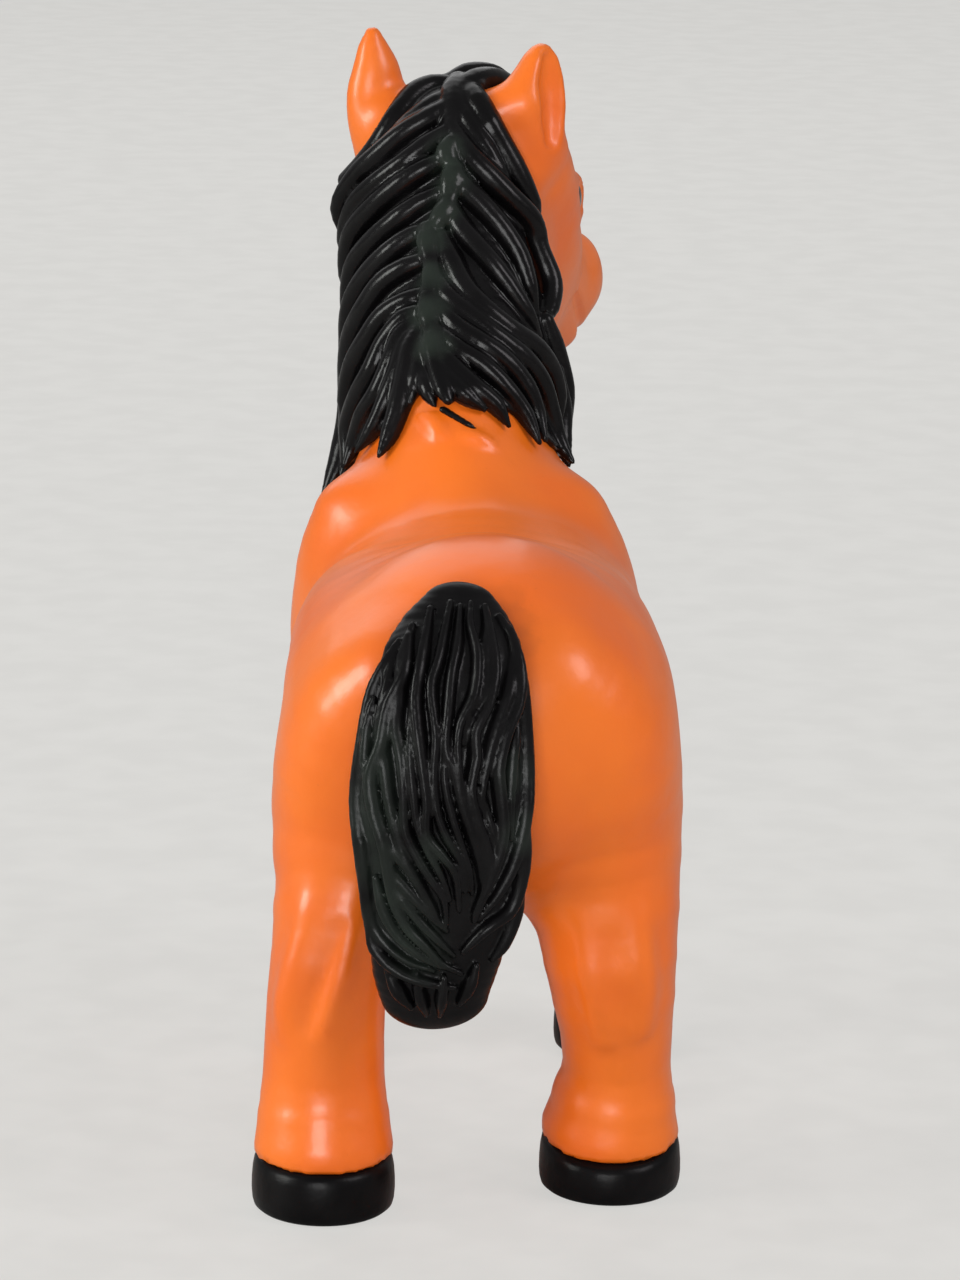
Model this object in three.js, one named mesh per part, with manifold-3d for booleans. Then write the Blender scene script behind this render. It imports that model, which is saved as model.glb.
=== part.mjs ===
// A toy horse in soft vinyl, in millimetres: +Z up, head towards -Y, its left towards +X.
// The hollow body and the hollow head are plugged together, and the mane, forelock, tail, hooves
// and eyes are fitted on to them.

import * as THREE from 'three';
import { mergeVertices } from 'three/addons/utils/BufferGeometryUtils.js';
import Module from 'manifold-3d';

const wasm = await Module();
wasm.setup();

// Body sizes. Shares below are of the half width, the half length and the croup height.
const hipWidth = 78;
const bodyLength = 150;
const croupHeight = 127;

// Head and neck sizes. The head turns to its right and points down.
const neckWidth = 41;
const neckDepth = 52;
const neckRise = 66;
const neckReach = 44;
const headLength = 72;
const headWidth = 42;
const headDepth = 42;
const headTurn = THREE.MathUtils.degToRad(-24);
const headPitch = THREE.MathUtils.degToRad(29);
const earLength = 24.2;
const earWidth = 15;
const earDepth = 11;

// Mouldings: wall, the blends between muscles, and the spacing of the points that facet each skin.
const wall = 3;
const muscleBlend = 9;
const headBlend = 6;
const earBlend = 3;
const lockBlend = 1.6;
const bodyFacet = 7.2;
const headFacet = 5.4;
const earFacet = 2.6;
const cavityFacet = 10;
const hairFacet = 4.2;

// Fits: the clearance all round a plug, and the glue line between two mouldings.
const plugClearance = 0.3;
const glueLine = 0.35;

// Neck joint: a flanged plug under the neck, in a hole in the body.
const seamFloor = 4;
const neckPlugRadius = 13;
const neckPlugBore = 9;
const neckPlugLength = 9;
const neckFlange = 1.6;
const neckFlangeHeight = 2.4;

// Hooves, each with a spigot in the end of its leg.
const hoofHeight = 10.5;
const hindHoofWidth = 27;
const foreHoofWidth = 24;
const hoofLengthShare = 1.08;
const hoofTopInset = 2.2;
const hoofEdge = 1.6;
const legFloor = 4;
const spigotRadius = 5;
const spigotLength = 9;

// Hair: the mane's thickness and half spread, the lock sizes, and the tail's own sizes.
const maneThickness = 2.9;
const maneLength = 86;
const lockWidth = 9;
const lockRise = 4.2;
const tailLength = 71;
const tailWidth = 34;
const tailDepth = 17;
const tailPegRadius = 4;
const tailPegLength = 10;
const forelockLength = 26;
const forelockWidth = 13;

// Eyes, lens shaped, half sunk in the head.
const eyeRadius = 4.4;
const eyeBulge = 1.9;

const sideways = new THREE.Vector3(1, 0, 0);
const overrun = 2;

// One station of a rod: a point, and the half width and half depth of the oval there.
function station(at, wide, deep) {
  return { at, wide, deep };
}

// A chain of rods along a smooth curve through a row of stations, with a box round it for quick tests.
const rodsPerStation = 3;

function chainThrough(stations, blend, side = sideways) {
  const path = new THREE.CatmullRomCurve3(stations.map(({ at }) => at));
  const sizes = stations.map(({ wide, deep }) => new THREE.Vector3(wide, deep, 0));
  const ovals = new THREE.CatmullRomCurve3(sizes);
  const count = (stations.length - 1) * rodsPerStation;
  const rods = [];
  const box = new THREE.Box3();
  for (let i = 0; i < count; i++) {
    const [from, to] = [i / count, (i + 1) / count].map((share) => {
      const oval = ovals.getPoint(share);
      return station(path.getPoint(share), oval.x, oval.y);
    });
    const length = from.at.distanceTo(to.at);
    const axis = to.at.clone().sub(from.at).divideScalar(length);
    const across = side.clone().addScaledVector(axis, -side.dot(axis)).normalize();
    rods.push({ from, to, length, axis, across, down: axis.clone().cross(across) });
    for (const { at, wide, deep } of [from, to]) {
      box.expandByPoint(at.clone().addScalar(Math.max(wide, deep)));
      box.expandByPoint(at.clone().subScalar(Math.max(wide, deep)));
    }
  }
  return { rods, blend, box, foot: stations.at(-1).at };
}

// About how far a point lies outside a rod's oval skin, less than zero inside.
function rodDistance(rod, x, y, z) {
  const { from, to, axis, across, down } = rod;
  const px = x - from.at.x;
  const py = y - from.at.y;
  const pz = z - from.at.z;
  const run = px * axis.x + py * axis.y + pz * axis.z;
  const share = Math.min(Math.max(run / rod.length, 0), 1);
  const wide = from.wide + (to.wide - from.wide) * share;
  const deep = from.deep + (to.deep - from.deep) * share;
  const cap = (wide + deep) / 2;
  const past = run - share * rod.length;
  const a = px * across.x + py * across.y + pz * across.z;
  const d = px * down.x + py * down.y + pz * down.z;
  const ratio = Math.hypot(a / wide, d / deep, past / cap);
  const slope = Math.hypot(a / wide ** 2, d / deep ** 2, past / cap ** 2);
  return slope > 0 ? (ratio * (ratio - 1)) / slope : -Math.min(wide, deep);
}

// The smaller of two distances, rounded where they are within the blend of each other.
function blended(a, b, blend) {
  const near = Math.max(blend - Math.abs(a - b), 0) / blend;
  return Math.min(a, b) - (near * near * blend) / 4;
}

// How far a point lies outside a form, which is a list of chains.
// A chain whose box is far off is passed over.
function formDistance(chains, x, y, z) {
  let distance = Infinity;
  for (const { rods, blend, box } of chains) {
    const { min, max } = box;
    const off = Math.max(min.x - x, x - max.x, min.y - y, y - max.y, min.z - z, z - max.z);
    if (off > distance + blend) continue;
    const next = rods.reduce((nearest, rod) => Math.min(nearest, rodDistance(rod, x, y, z)), Infinity);
    distance = distance === Infinity ? next : blended(distance, next, blend);
  }
  return distance;
}

// A point of the body by shares of its half width, half length and croup height.
function bodyPoint(acrossShare, alongShare, upShare) {
  return new THREE.Vector3(
    (acrossShare * hipWidth) / 2,
    (alongShare * bodyLength) / 2,
    upShare * croupHeight,
  );
}

function bodyStations(rows) {
  return rows.map(([across, along, up, wide, deep]) =>
    station(bodyPoint(across, along, up), (wide * hipWidth) / 2, deep * croupHeight));
}

// Each row: where the oval's middle is (across, along, up), then its half width and half depth.
const trunkShares = [
  [-0.05, 0.53, 0.725, 0.85, 0.275],
  [-0.05, 0.12, 0.725, 0.92, 0.222],
  [-0.05, -0.30, 0.725, 0.91, 0.222],
  [0, -0.58, 0.735, 0.84, 0.255],
];
const hindLegShares = [
  [0.44, 0.52, 0.71, 0.43, 0.19],
  [0.56, 0.55, 0.59, 0.46, 0.15],
  [0.66, 0.67, 0.38, 0.285, 0.105],
  [0.70, 0.65, 0.20, 0.29, 0.095],
  [0.70, 0.67, 0.095, 0.34, 0.105],
];
const foreLegShares = [
  [0.42, -0.58, 0.68, 0.38, 0.16],
  [0.61, -0.62, 0.45, 0.31, 0.11],
  [0.75, -0.62, 0.24, 0.25, 0.09],
  [0.76, -0.64, 0.105, 0.27, 0.095],
];
const rightHindStepShare = 0.16;
const hipSwayShares = [-0.06, -0.01];
const shoulderSwayShares = [0, -0.075];

// A leg's sway is how far its top and its foot stand to the left of where the table has them.
function leg(rows, side, [topSway, footSway], stepShare = 0) {
  const placed = rows.map(([across, along, up, wide, deep], row) => {
    const down = row / (rows.length - 1);
    const sway = topSway + (footSway - topSway) * down;
    return [side * across + sway, along - stepShare * down, up, wide, deep];
  });
  return chainThrough(bodyStations(placed), muscleBlend);
}

const trunk = [chainThrough(bodyStations(trunkShares), muscleBlend)];
const legs = {
  left_hind: leg(hindLegShares, 1, hipSwayShares),
  right_hind: leg(hindLegShares, -1, hipSwayShares, rightHindStepShare),
  left_front: leg(foreLegShares, 1, shoulderSwayShares),
  right_front: leg(foreLegShares, -1, shoulderSwayShares),
};
const body = [...trunk, ...Object.values(legs)];

// The neck rises from the withers to the poll.
const neckRoot = bodyPoint(0.035, -0.60, 0.84);
const poll = neckRoot.clone().add(new THREE.Vector3(0, -neckReach, neckRise));
const neckAxis = poll.clone().sub(neckRoot).normalize();
const neckBack = neckAxis.clone().cross(sideways);
const neckShares = [
  [0, 0.97, 1.16],
  [0.35, 0.94, 1],
  [0.75, 0.88, 0.80],
  [1, 0.86, 0.76],
];
const neck = chainThrough(
  neckShares.map(([along, wide, deep]) => station(
    neckRoot.clone().lerp(poll, along),
    (wide * neckWidth) / 2,
    (deep * neckDepth) / 2,
  )),
  muscleBlend,
);

// Head frame: forwards along the face, across to its left, and up through the forehead.
const headTurned = new THREE.Quaternion().setFromAxisAngle(new THREE.Vector3(0, 0, 1), headTurn);
const headAcross = sideways.clone().applyQuaternion(headTurned);
const headForward = new THREE.Vector3(0, -Math.cos(headPitch), -Math.sin(headPitch))
  .applyQuaternion(headTurned);
const headUp = headForward.clone().cross(headAcross);

// A point of the head by shares of its half width, its length and its half depth.
function headPoint(acrossShare, forwardShare, upShare) {
  return poll.clone()
    .addScaledVector(headAcross, (acrossShare * headWidth) / 2)
    .addScaledVector(headForward, forwardShare * headLength)
    .addScaledVector(headUp, (upShare * headDepth) / 2);
}

function headStations(rows) {
  return rows.map(([across, forward, up, wide, deep]) =>
    station(headPoint(across, forward, up), (wide * headWidth) / 2, (deep * headDepth) / 2));
}

const skullShares = [
  [0, 0, 0, 0.88, 0.95],
  [0, 0.30, -0.05, 0.92, 0.90],
  [0, 0.58, -0.12, 0.68, 0.66],
  [0, 0.80, -0.09, 0.70, 0.58],
];
const browShares = [
  [0.62, 0.10, 0.34, 0.34, 0.34],
  [0.66, 0.26, 0.26, 0.30, 0.30],
];
const jawShares = [
  [0.42, 0.10, -0.62, 0.42, 0.50],
  [0.24, 0.52, -0.62, 0.34, 0.36],
];
const skull = [
  chainThrough(headStations(skullShares), headBlend, headAcross),
  ...[1, -1].flatMap((side) => [browShares, jawShares].map((rows) => chainThrough(
    headStations(rows.map(([across, ...rest]) => [side * across, ...rest])),
    headBlend,
    headAcross,
  ))),
];

// Ears: leaf shaped, hollowed on the side that the cup faces.
const earRootShares = [0.74, -0.06, 0.30];
const earLeafShares = [
  [0, 0.86, 0.70],
  [0.45, 1, 0.80],
  [0.82, 0.62, 0.52],
  [1, 0.26, 0.30],
];
const earLean = THREE.MathUtils.degToRad(6);
const cupShare = 0.62;
const cupRaiseShare = 0.22;

function earFrame(side) {
  const root = headPoint(side * earRootShares[0], earRootShares[1], earRootShares[2]);
  const rise = new THREE.Vector3(side * Math.sin(earLean), 0, Math.cos(earLean));
  const out = new THREE.Vector3(side, 0, 0).applyQuaternion(headTurned);
  const flat = out.clone().addScaledVector(rise, -out.dot(rise)).normalize();
  return { root, rise, flat, facing: rise.clone().cross(flat).multiplyScalar(side) };
}

function earLeaf(side) {
  const { root, rise, flat } = earFrame(side);
  const stations = earLeafShares.map(([along, wide, deep]) => station(
    root.clone().addScaledVector(rise, along * earLength),
    (wide * earWidth) / 2,
    (deep * earDepth) / 2,
  ));
  return chainThrough(stations, earBlend, flat);
}

function earCup(side) {
  const { root, rise, flat, facing } = earFrame(side);
  const stations = earLeafShares.slice(0, -1).map(([along, wide, deep]) => station(
    root.clone()
      .addScaledVector(rise, (along + cupRaiseShare) * earLength)
      .addScaledVector(facing, (-deep * earDepth) / 2),
    (cupShare * wide * earWidth) / 2,
    (cupShare * deep * earDepth) / 2,
  ));
  return chainThrough(stations, earBlend, flat);
}

const upper = [neck, ...skull];
const whole = [...body, ...upper];
const neckAndTrunk = [...trunk, ...upper];

// The seam between body and neck, a plane square to the neck.
const seamShare = 0.22;
const seamCentre = neckRoot.clone().lerp(poll, seamShare);

const seamPlane = new THREE.Plane().setFromNormalAndCoplanarPoint(neckAxis, seamCentre);

function aboveSeam(x, y, z) {
  return neckAxis.x * x + neckAxis.y * y + neckAxis.z * z + seamPlane.constant;
}

// A closed skin where a distance crosses zero: one point in each grid cell that it passes through,
// moved on to the skin, and a four sided face round each grid edge that it crosses.
function skinned(distance, low, high, cell) {
  const count = high.clone().sub(low).divideScalar(cell).ceil().addScalar(1);
  const at = (i, j, k) => i + count.x * (j + count.y * k);
  const values = new Float64Array(count.x * count.y * count.z);
  for (let k = 0; k < count.z; k++) {
    for (let j = 0; j < count.y; j++) {
      for (let i = 0; i < count.x; i++) {
        const edge = !i || !j || !k || i + 1 === count.x || j + 1 === count.y || k + 1 === count.z;
        const value = distance(low.x + i * cell, low.y + j * cell, low.z + k * cell);
        values[at(i, j, k)] = edge ? Math.max(value, cell) : value;
      }
    }
  }
  fillPinches(values, count, at);
  const corners = [[0, 0, 0], [1, 0, 0], [0, 1, 0], [1, 1, 0], [0, 0, 1], [1, 0, 1], [0, 1, 1], [1, 1, 1]];
  const edges = [
    [0, 1], [2, 3], [4, 5], [6, 7], [0, 2], [1, 3], [4, 6], [5, 7], [0, 4], [1, 5], [2, 6], [3, 7],
  ];
  const positions = [];
  const pointOf = new Int32Array(values.length).fill(-1);
  const point = new THREE.Vector3();
  for (let k = 0; k + 1 < count.z; k++) {
    for (let j = 0; j + 1 < count.y; j++) {
      for (let i = 0; i + 1 < count.x; i++) {
        point.set(0, 0, 0);
        let crossings = 0;
        for (const [a, b] of edges) {
          const [ai, aj, ak] = corners[a];
          const [bi, bj, bk] = corners[b];
          const va = values[at(i + ai, j + aj, k + ak)];
          const vb = values[at(i + bi, j + bj, k + bk)];
          if (va < 0 === vb < 0) continue;
          const share = va / (va - vb);
          point.x += i + ai + (bi - ai) * share;
          point.y += j + aj + (bj - aj) * share;
          point.z += k + ak + (bk - ak) * share;
          crossings++;
        }
        if (!crossings) continue;
        point.divideScalar(crossings).multiplyScalar(cell).add(low);
        pointOf[at(i, j, k)] = positions.length / 3;
        positions.push(...settled(point, distance, cell).toArray());
      }
    }
  }
  const indices = [];
  const strides = [at(1, 0, 0), at(0, 1, 0), at(0, 0, 1)];
  for (let k = 0; k + 1 < count.z; k++) {
    for (let j = 0; j + 1 < count.y; j++) {
      for (let i = 0; i + 1 < count.x; i++) {
        const here = at(i, j, k);
        for (let axis = 0; axis < 3; axis++) {
          const inside = values[here] < 0;
          if (inside === values[here + strides[axis]] < 0) continue;
          const one = strides[(axis + 1) % 3];
          const two = strides[(axis + 2) % 3];
          const ring = [here - one - two, here - two, here, here - one].map((cellAt) => pointOf[cellAt]);
          if (!inside) ring.reverse();
          indices.push(ring[0], ring[1], ring[2], ring[0], ring[2], ring[3]);
        }
      }
    }
  }
  const geometry = new THREE.BufferGeometry();
  geometry.setAttribute('position', new THREE.Float32BufferAttribute(positions, 3));
  geometry.setIndex(indices);
  return solidOf(geometry);
}

// Where the skin would meet itself along one edge or at one point of the grid, the gap is filled.
function fillPinches(values, count, at) {
  const strides = [at(1, 0, 0), at(0, 1, 0), at(0, 0, 1)];
  const squares = [[0, 1], [0, 2], [1, 2]]
    .map(([a, b]) => [0, strides[a], strides[b], strides[a] + strides[b]]);
  const all = strides[0] + strides[1] + strides[2];
  const diagonals = [0, ...strides].map((from) => [from, all - from]);
  const inside = (index) => values[index] < 0;
  const fill = (index) => {
    values[index] = -Math.abs(values[index]) / 4 - Number.EPSILON;
  };
  for (let filled = true; filled;) {
    filled = false;
    for (let k = 0; k + 1 < count.z; k++) {
      for (let j = 0; j + 1 < count.y; j++) {
        for (let i = 0; i + 1 < count.x; i++) {
          const here = at(i, j, k);
          for (const [a, b, c, d] of squares) {
            const first = inside(here + a);
            if (first !== inside(here + d)) continue;
            if (first === inside(here + b) || first === inside(here + c)) continue;
            fill(here + (first ? b : a));
            filled = true;
          }
          for (const [one, other] of diagonals) {
            const pair = inside(here + one);
            if (pair !== inside(here + other)) continue;
            const rest = diagonals.flat().filter((corner) => corner !== one && corner !== other);
            if (rest.some((corner) => inside(here + corner) === pair)) continue;
            fill(here + (pair ? rest[0] : one));
            filled = true;
          }
        }
      }
    }
  }
}

// Moves a point on to the skin, up the slope of the distance, never further than half a cell.
function settled(point, distance, cell) {
  const start = point.clone();
  const step = cell / 100;
  const slope = new THREE.Vector3();
  for (let pass = 0; pass < 3; pass++) {
    const { x, y, z } = point;
    const here = distance(x, y, z);
    slope.set(
      distance(x + step, y, z) - here,
      distance(x, y + step, z) - here,
      distance(x, y, z + step) - here,
    ).divideScalar(step);
    if (slope.lengthSq() === 0) break;
    point.addScaledVector(slope, -here / slope.lengthSq());
    point.sub(start).clampLength(0, cell / 2).add(start);
  }
  return point;
}

// A three.js geometry as a solid that can be cut and joined.
function solidOf(geometry) {
  const bare = geometry.clone();
  bare.deleteAttribute('normal');
  bare.deleteAttribute('uv');
  const merged = mergeVertices(bare);
  return new wasm.Manifold(new wasm.Mesh({
    numProp: 3,
    vertProperties: new Float32Array(merged.attributes.position.array),
    triVerts: new Uint32Array(merged.index.array),
  }));
}

function geometryOf(solid) {
  const mesh = solid.getMesh();
  const geometry = new THREE.BufferGeometry();
  geometry.setAttribute('position', new THREE.BufferAttribute(new Float32Array(mesh.vertProperties), 3));
  geometry.setIndex(new THREE.BufferAttribute(new Uint32Array(mesh.triVerts), 1));
  return geometry;
}

// A round rod of one radius between two points.
function dowel(from, to, radius, sides = 24) {
  const length = from.distanceTo(to);
  const geometry = new THREE.CylinderGeometry(radius, radius, length, sides);
  const direction = to.clone().sub(from).divideScalar(length);
  const turn = new THREE.Quaternion().setFromUnitVectors(new THREE.Vector3(0, 1, 0), direction);
  geometry.applyQuaternion(turn);
  geometry.translate(...from.clone().add(to).divideScalar(2).toArray());
  return solidOf(geometry);
}

function onNeckAxis(height) {
  return seamCentre.clone().addScaledVector(neckAxis, height);
}

function boxAround(chains, margin) {
  const box = new THREE.Box3();
  for (const chain of chains) box.union(chain.box);
  return box.expandByScalar(margin);
}

function belowSeam(solid, drop) {
  const level = neckAxis.dot(onNeckAxis(-drop));
  return solid.trimByPlane(neckAxis.clone().negate().toArray(), -level);
}

function overSeam(solid, lift) {
  return solid.trimByPlane(neckAxis.toArray(), neckAxis.dot(onNeckAxis(lift)));
}

// The whole body skin, grown outwards by a clearance.
function bodySkin(grow) {
  const { min, max } = boxAround([...body, neck], bodyFacet * 2);
  const distance = (x, y, z) =>
    Math.max(formDistance(whole, x, y, z) - grow, aboveSeam(x, y, z) - 2 * bodyFacet);
  return skinned(distance, min, max, bodyFacet);
}

function headSkin(grow) {
  const { min, max } = boxAround(upper, headFacet * 2);
  const distance = (x, y, z) =>
    Math.max(formDistance(neckAndTrunk, x, y, z) - grow, -aboveSeam(x, y, z) - 2 * headFacet);
  return skinned(distance, min, max, headFacet).add(ear(1, grow)).add(ear(-1, grow));
}

function ear(side, grow) {
  const leaf = earLeaf(side);
  const cup = earCup(side);
  const { min, max } = boxAround([leaf], earFacet * 2);
  const distance = (x, y, z) =>
    Math.max(formDistance([leaf], x, y, z), -formDistance([cup], x, y, z)) - grow;
  return skinned(distance, min, max, earFacet);
}

function overHoof(centre, height) {
  return new THREE.Vector3(centre.x, centre.y, hoofHeight + height);
}

// Tail socket: high on the rump, along the body.
const tailRoot = bodyPoint(0, 0.90, 0.925);
const tailPegEnd = tailRoot.clone().add(new THREE.Vector3(0, -tailPegLength, 0));
const tailPegRoot = tailRoot.clone().add(new THREE.Vector3(0, tailPegRadius / 2, 0));

function bodyShell() {
  const { min, max } = boxAround(body, cavityFacet);
  const hollow = skinned(
    (x, y, z) => Math.max(
      formDistance(whole, x, y, z) + wall,
      aboveSeam(x, y, z) + seamFloor,
      hoofHeight + legFloor - z,
    ),
    min,
    max,
    cavityFacet,
  );
  const hole = dowel(onNeckAxis(-2 * seamFloor), onNeckAxis(seamFloor), neckPlugRadius + plugClearance);
  const flangeRoom = dowel(
    onNeckAxis(-neckPlugLength - overrun),
    onNeckAxis(-seamFloor),
    neckPlugRadius + neckFlange + plugClearance,
  );
  const socketEnd = tailPegEnd.clone().add(new THREE.Vector3(0, -overrun, 0));
  const socket = dowel(socketEnd, tailRoot.clone().setY(bodyLength), tailPegRadius + plugClearance, 16);
  let shell = belowSeam(bodySkin(0), glueLine / 2)
    .trimByPlane([0, 0, 1], hoofHeight + glueLine / 2)
    .subtract(hollow)
    .subtract(hole)
    .subtract(flangeRoom)
    .subtract(socket);
  for (const { foot: centre } of Object.values(legs)) {
    const boreTop = overHoof(centre, spigotLength + overrun);
    shell = shell.subtract(dowel(overHoof(centre, -overrun), boreTop, spigotRadius + plugClearance, 16));
  }
  return shell;
}

// The eyes lie on the skin under the brow, found by walking out from the middle of the head.
const eyeForwardShare = 0.29;
const eyeUpShare = 0.32;

function eyeFrame(side) {
  const out = headAcross.clone().multiplyScalar(side);
  const at = headPoint(0, eyeForwardShare, eyeUpShare);
  const step = eyeBulge / 8;
  while (formDistance(upper, at.x, at.y, at.z) < 0) at.addScaledVector(out, step);
  return { at, turn: new THREE.Quaternion().setFromUnitVectors(new THREE.Vector3(0, 0, 1), out) };
}

function eyeLens(side, grow) {
  const { at, turn } = eyeFrame(side);
  const lens = new THREE.SphereGeometry(1, 14, 8);
  lens.scale(eyeRadius + grow, eyeRadius + grow, eyeBulge + grow);
  lens.applyQuaternion(turn);
  lens.translate(...at.toArray());
  return solidOf(lens);
}

function headNeckShell() {
  const { min, max } = boxAround(upper, cavityFacet);
  const hollow = skinned(
    (x, y, z) => Math.max(formDistance(neckAndTrunk, x, y, z) + wall, seamFloor - aboveSeam(x, y, z)),
    min,
    max,
    cavityFacet,
  );
  const plugEnd = onNeckAxis(-neckPlugLength);
  const flangeTop = onNeckAxis(neckFlangeHeight - neckPlugLength);
  const plug = dowel(plugEnd, onNeckAxis(seamFloor), neckPlugRadius);
  const flange = dowel(plugEnd, flangeTop, neckPlugRadius + neckFlange);
  const bore = dowel(onNeckAxis(-neckPlugLength - overrun), onNeckAxis(2 * seamFloor), neckPlugBore);
  return overSeam(headSkin(0), glueLine / 2)
    .subtract(hollow)
    .add(plug)
    .add(flange)
    .subtract(bore)
    .subtract(eyeLens(1, plugClearance / 2))
    .subtract(eyeLens(-1, plugClearance / 2));
}

// The mane lies over the back of the neck, which turns with the head as it rises. Its places are
// by shares down the crest, and by an angle round the neck from the parting.
const crestLength = neckRoot.distanceTo(poll);
const maneTopShare = 1.26;
const spreadAtPoll = THREE.MathUtils.degToRad(55);
const spreadAtWithers = THREE.MathUtils.degToRad(104);

function neckFrame(along) {
  const turnShare = Math.min(Math.max(along, 0), 1);
  const turn = new THREE.Quaternion().setFromAxisAngle(neckAxis, headTurn * turnShare);
  return {
    centre: neckRoot.clone().addScaledVector(neckAxis, along * crestLength),
    back: neckBack.clone().applyQuaternion(turn),
    across: sideways.clone().applyQuaternion(turn),
    spread: spreadAtWithers + (spreadAtPoll - spreadAtWithers) * turnShare,
  };
}

function alongCrest(downShare) {
  return maneTopShare - (downShare * maneLength) / crestLength;
}

function crestPoint(downShare, spreadShare, lift) {
  const { centre, back, across, spread } = neckFrame(alongCrest(downShare));
  const angle = spreadShare * spread;
  const out = across.multiplyScalar(Math.sin(angle)).addScaledVector(back, Math.cos(angle));
  const at = centre.clone();
  const step = lockRise / 8;
  while (formDistance(neckAndTrunk, at.x, at.y, at.z) < lift) at.addScaledVector(out, step);
  return at;
}

// Each lock leaves the parting and sweeps down and round, thick in the middle, to a point.
const lockRows = 7;
const lockPoints = 6;
const lockDropShare = 0.34;
const lockLiftShare = 0.7;
const lockBend = 1.3;
const lockSwellShares = [0.62, 0.95, 1.05, 1, 0.85, 0.5];

function lockStations(side, startShare) {
  const stations = [];
  for (let i = 0; i < lockPoints; i++) {
    const share = i / (lockPoints - 1);
    const down = startShare + lockDropShare * share ** lockBend;
    const spreadShare = side * Math.sin((share * Math.PI) / 2);
    const at = crestPoint(Math.min(down, 1), spreadShare, maneThickness * lockLiftShare);
    at.z -= Math.max(down - 1, 0) * maneLength;
    stations.push(station(at, (lockSwellShares[i] * lockWidth) / 2, (lockSwellShares[i] * lockRise) / 2));
  }
  return stations;
}

function maneSolid() {
  const locks = [];
  for (const side of [1, -1]) {
    for (let row = 0; row < lockRows; row++) {
      const stagger = side > 0 ? 0 : 0.5;
      const startShare = ((row + stagger) / lockRows) * (1 - lockDropShare / 2);
      const stations = lockStations(side, startShare);
      const { centre } = neckFrame(alongCrest(startShare + lockDropShare / 2));
      const out = stations[2].at.clone().sub(centre);
      const flat = stations.at(-1).at.clone().sub(stations[0].at).cross(out).normalize();
      locks.push(chainThrough(stations, lockBlend, flat));
    }
  }
  const { min, max } = boxAround(locks, hairFacet * 3);
  const footShare = alongCrest(1);
  const coat = (x, y, z) => {
    const point = new THREE.Vector3(x, y, z).sub(neckRoot);
    const along = point.dot(neckAxis) / crestLength;
    const { back, across, spread } = neckFrame(along);
    const angle = Math.atan2(Math.abs(point.dot(across)), point.dot(back));
    return Math.max(
      formDistance(upper, x, y, z) - maneThickness,
      ((angle - spread) * neckWidth) / 2,
      (along - maneTopShare) * crestLength,
      (footShare - along) * crestLength,
    );
  };
  const hair = (x, y, z) => blended(coat(x, y, z), formDistance(locks, x, y, z), lockBlend);
  return skinned(hair, min, max, hairFacet);
}

// The tail hangs from the socket behind the rump and swings a little to the left.
// Each row: how far down, how far to the left and back, then its half width and half depth.
const tailShares = [
  [-0.02, 0.02, -0.20, 0.42, 0.40],
  [0.06, 0.12, 0.30, 0.62, 0.56],
  [0.22, 0.20, 0.66, 0.82, 0.72],
  [0.46, 0.34, 0.74, 0.94, 0.84],
  [0.68, 0.42, 0.64, 0.96, 0.86],
  [0.88, 0.46, 0.50, 0.74, 0.74],
  [1.00, 0.40, 0.42, 0.48, 0.50],
];
const tailLockCount = 6;
const tailWrap = THREE.MathUtils.degToRad(82);
const tailSway = THREE.MathUtils.degToRad(20);
const tailSwayTurn = THREE.MathUtils.degToRad(288);
const tailSwellShares = [0.5, 0.9, 1.15, 1.2, 1.1, 0.9, 0.5];
const tailLockWidth = 8;
const tailLockRise = 3;

function tailPoint(downShare, acrossShare, backShare) {
  return tailRoot.clone().add(new THREE.Vector3(
    (acrossShare * tailWidth) / 2,
    backShare * tailDepth,
    -downShare * tailLength,
  ));
}

function tailSolid() {
  const coreWidth = tailWidth - tailLockRise;
  const coreDepth = tailDepth - tailLockRise;
  const core = tailShares.map(([down, left, back, wide, deep]) =>
    station(tailPoint(down, left, back), (wide * coreWidth) / 2, (deep * coreDepth) / 2));
  const chains = [chainThrough(core, lockBlend)];
  for (let lock = 0; lock < tailLockCount; lock++) {
    const spread = (lock + 0.5) / tailLockCount * 2 - 1;
    const stations = core.map(({ at, wide, deep }, i) => {
      const share = i / (core.length - 1);
      const angle = spread * tailWrap + tailSway * Math.sin(share * tailSwayTurn);
      const spot = at.clone();
      spot.x += Math.sin(angle) * wide;
      spot.y += Math.cos(angle) * deep;
      const swell = tailSwellShares[i];
      return station(spot, (swell * tailLockWidth) / 2, (swell * tailLockRise) / 2);
    });
    const flat = new THREE.Vector3(Math.cos(spread * tailWrap), -Math.sin(spread * tailWrap), 0);
    chains.push(chainThrough(stations, lockBlend, flat));
  }
  const { min, max } = boxAround(chains, hairFacet * 2);
  return skinned((x, y, z) => formDistance(chains, x, y, z), min, max, hairFacet);
}

// The forelock falls from the poll over the forehead, to a point, with its middle on the skin.
// Each row: how far down it, how far across the forehead, and its swell.
const forelockShares = [
  [0, 0, 0.7],
  [0.35, 0.06, 1],
  [0.7, 0.12, 0.8],
  [1, 0.18, 0.3],
];
const forelockRootShare = -0.12;

function forelockSolid() {
  const step = lockRise / 8;
  const stations = forelockShares.map(([down, across, swell]) => {
    const at = headPoint(across, forelockRootShare, 0).addScaledVector(headForward, down * forelockLength);
    while (formDistance(upper, at.x, at.y, at.z) < 0) at.addScaledVector(headUp, step);
    return station(at, (swell * forelockWidth) / 2, swell * lockRise);
  });
  const lock = [chainThrough(stations, lockBlend, headAcross)];
  const { min, max } = boxAround(lock, hairFacet * 2);
  return skinned((x, y, z) => formDistance(lock, x, y, z), min, max, hairFacet);
}

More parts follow.
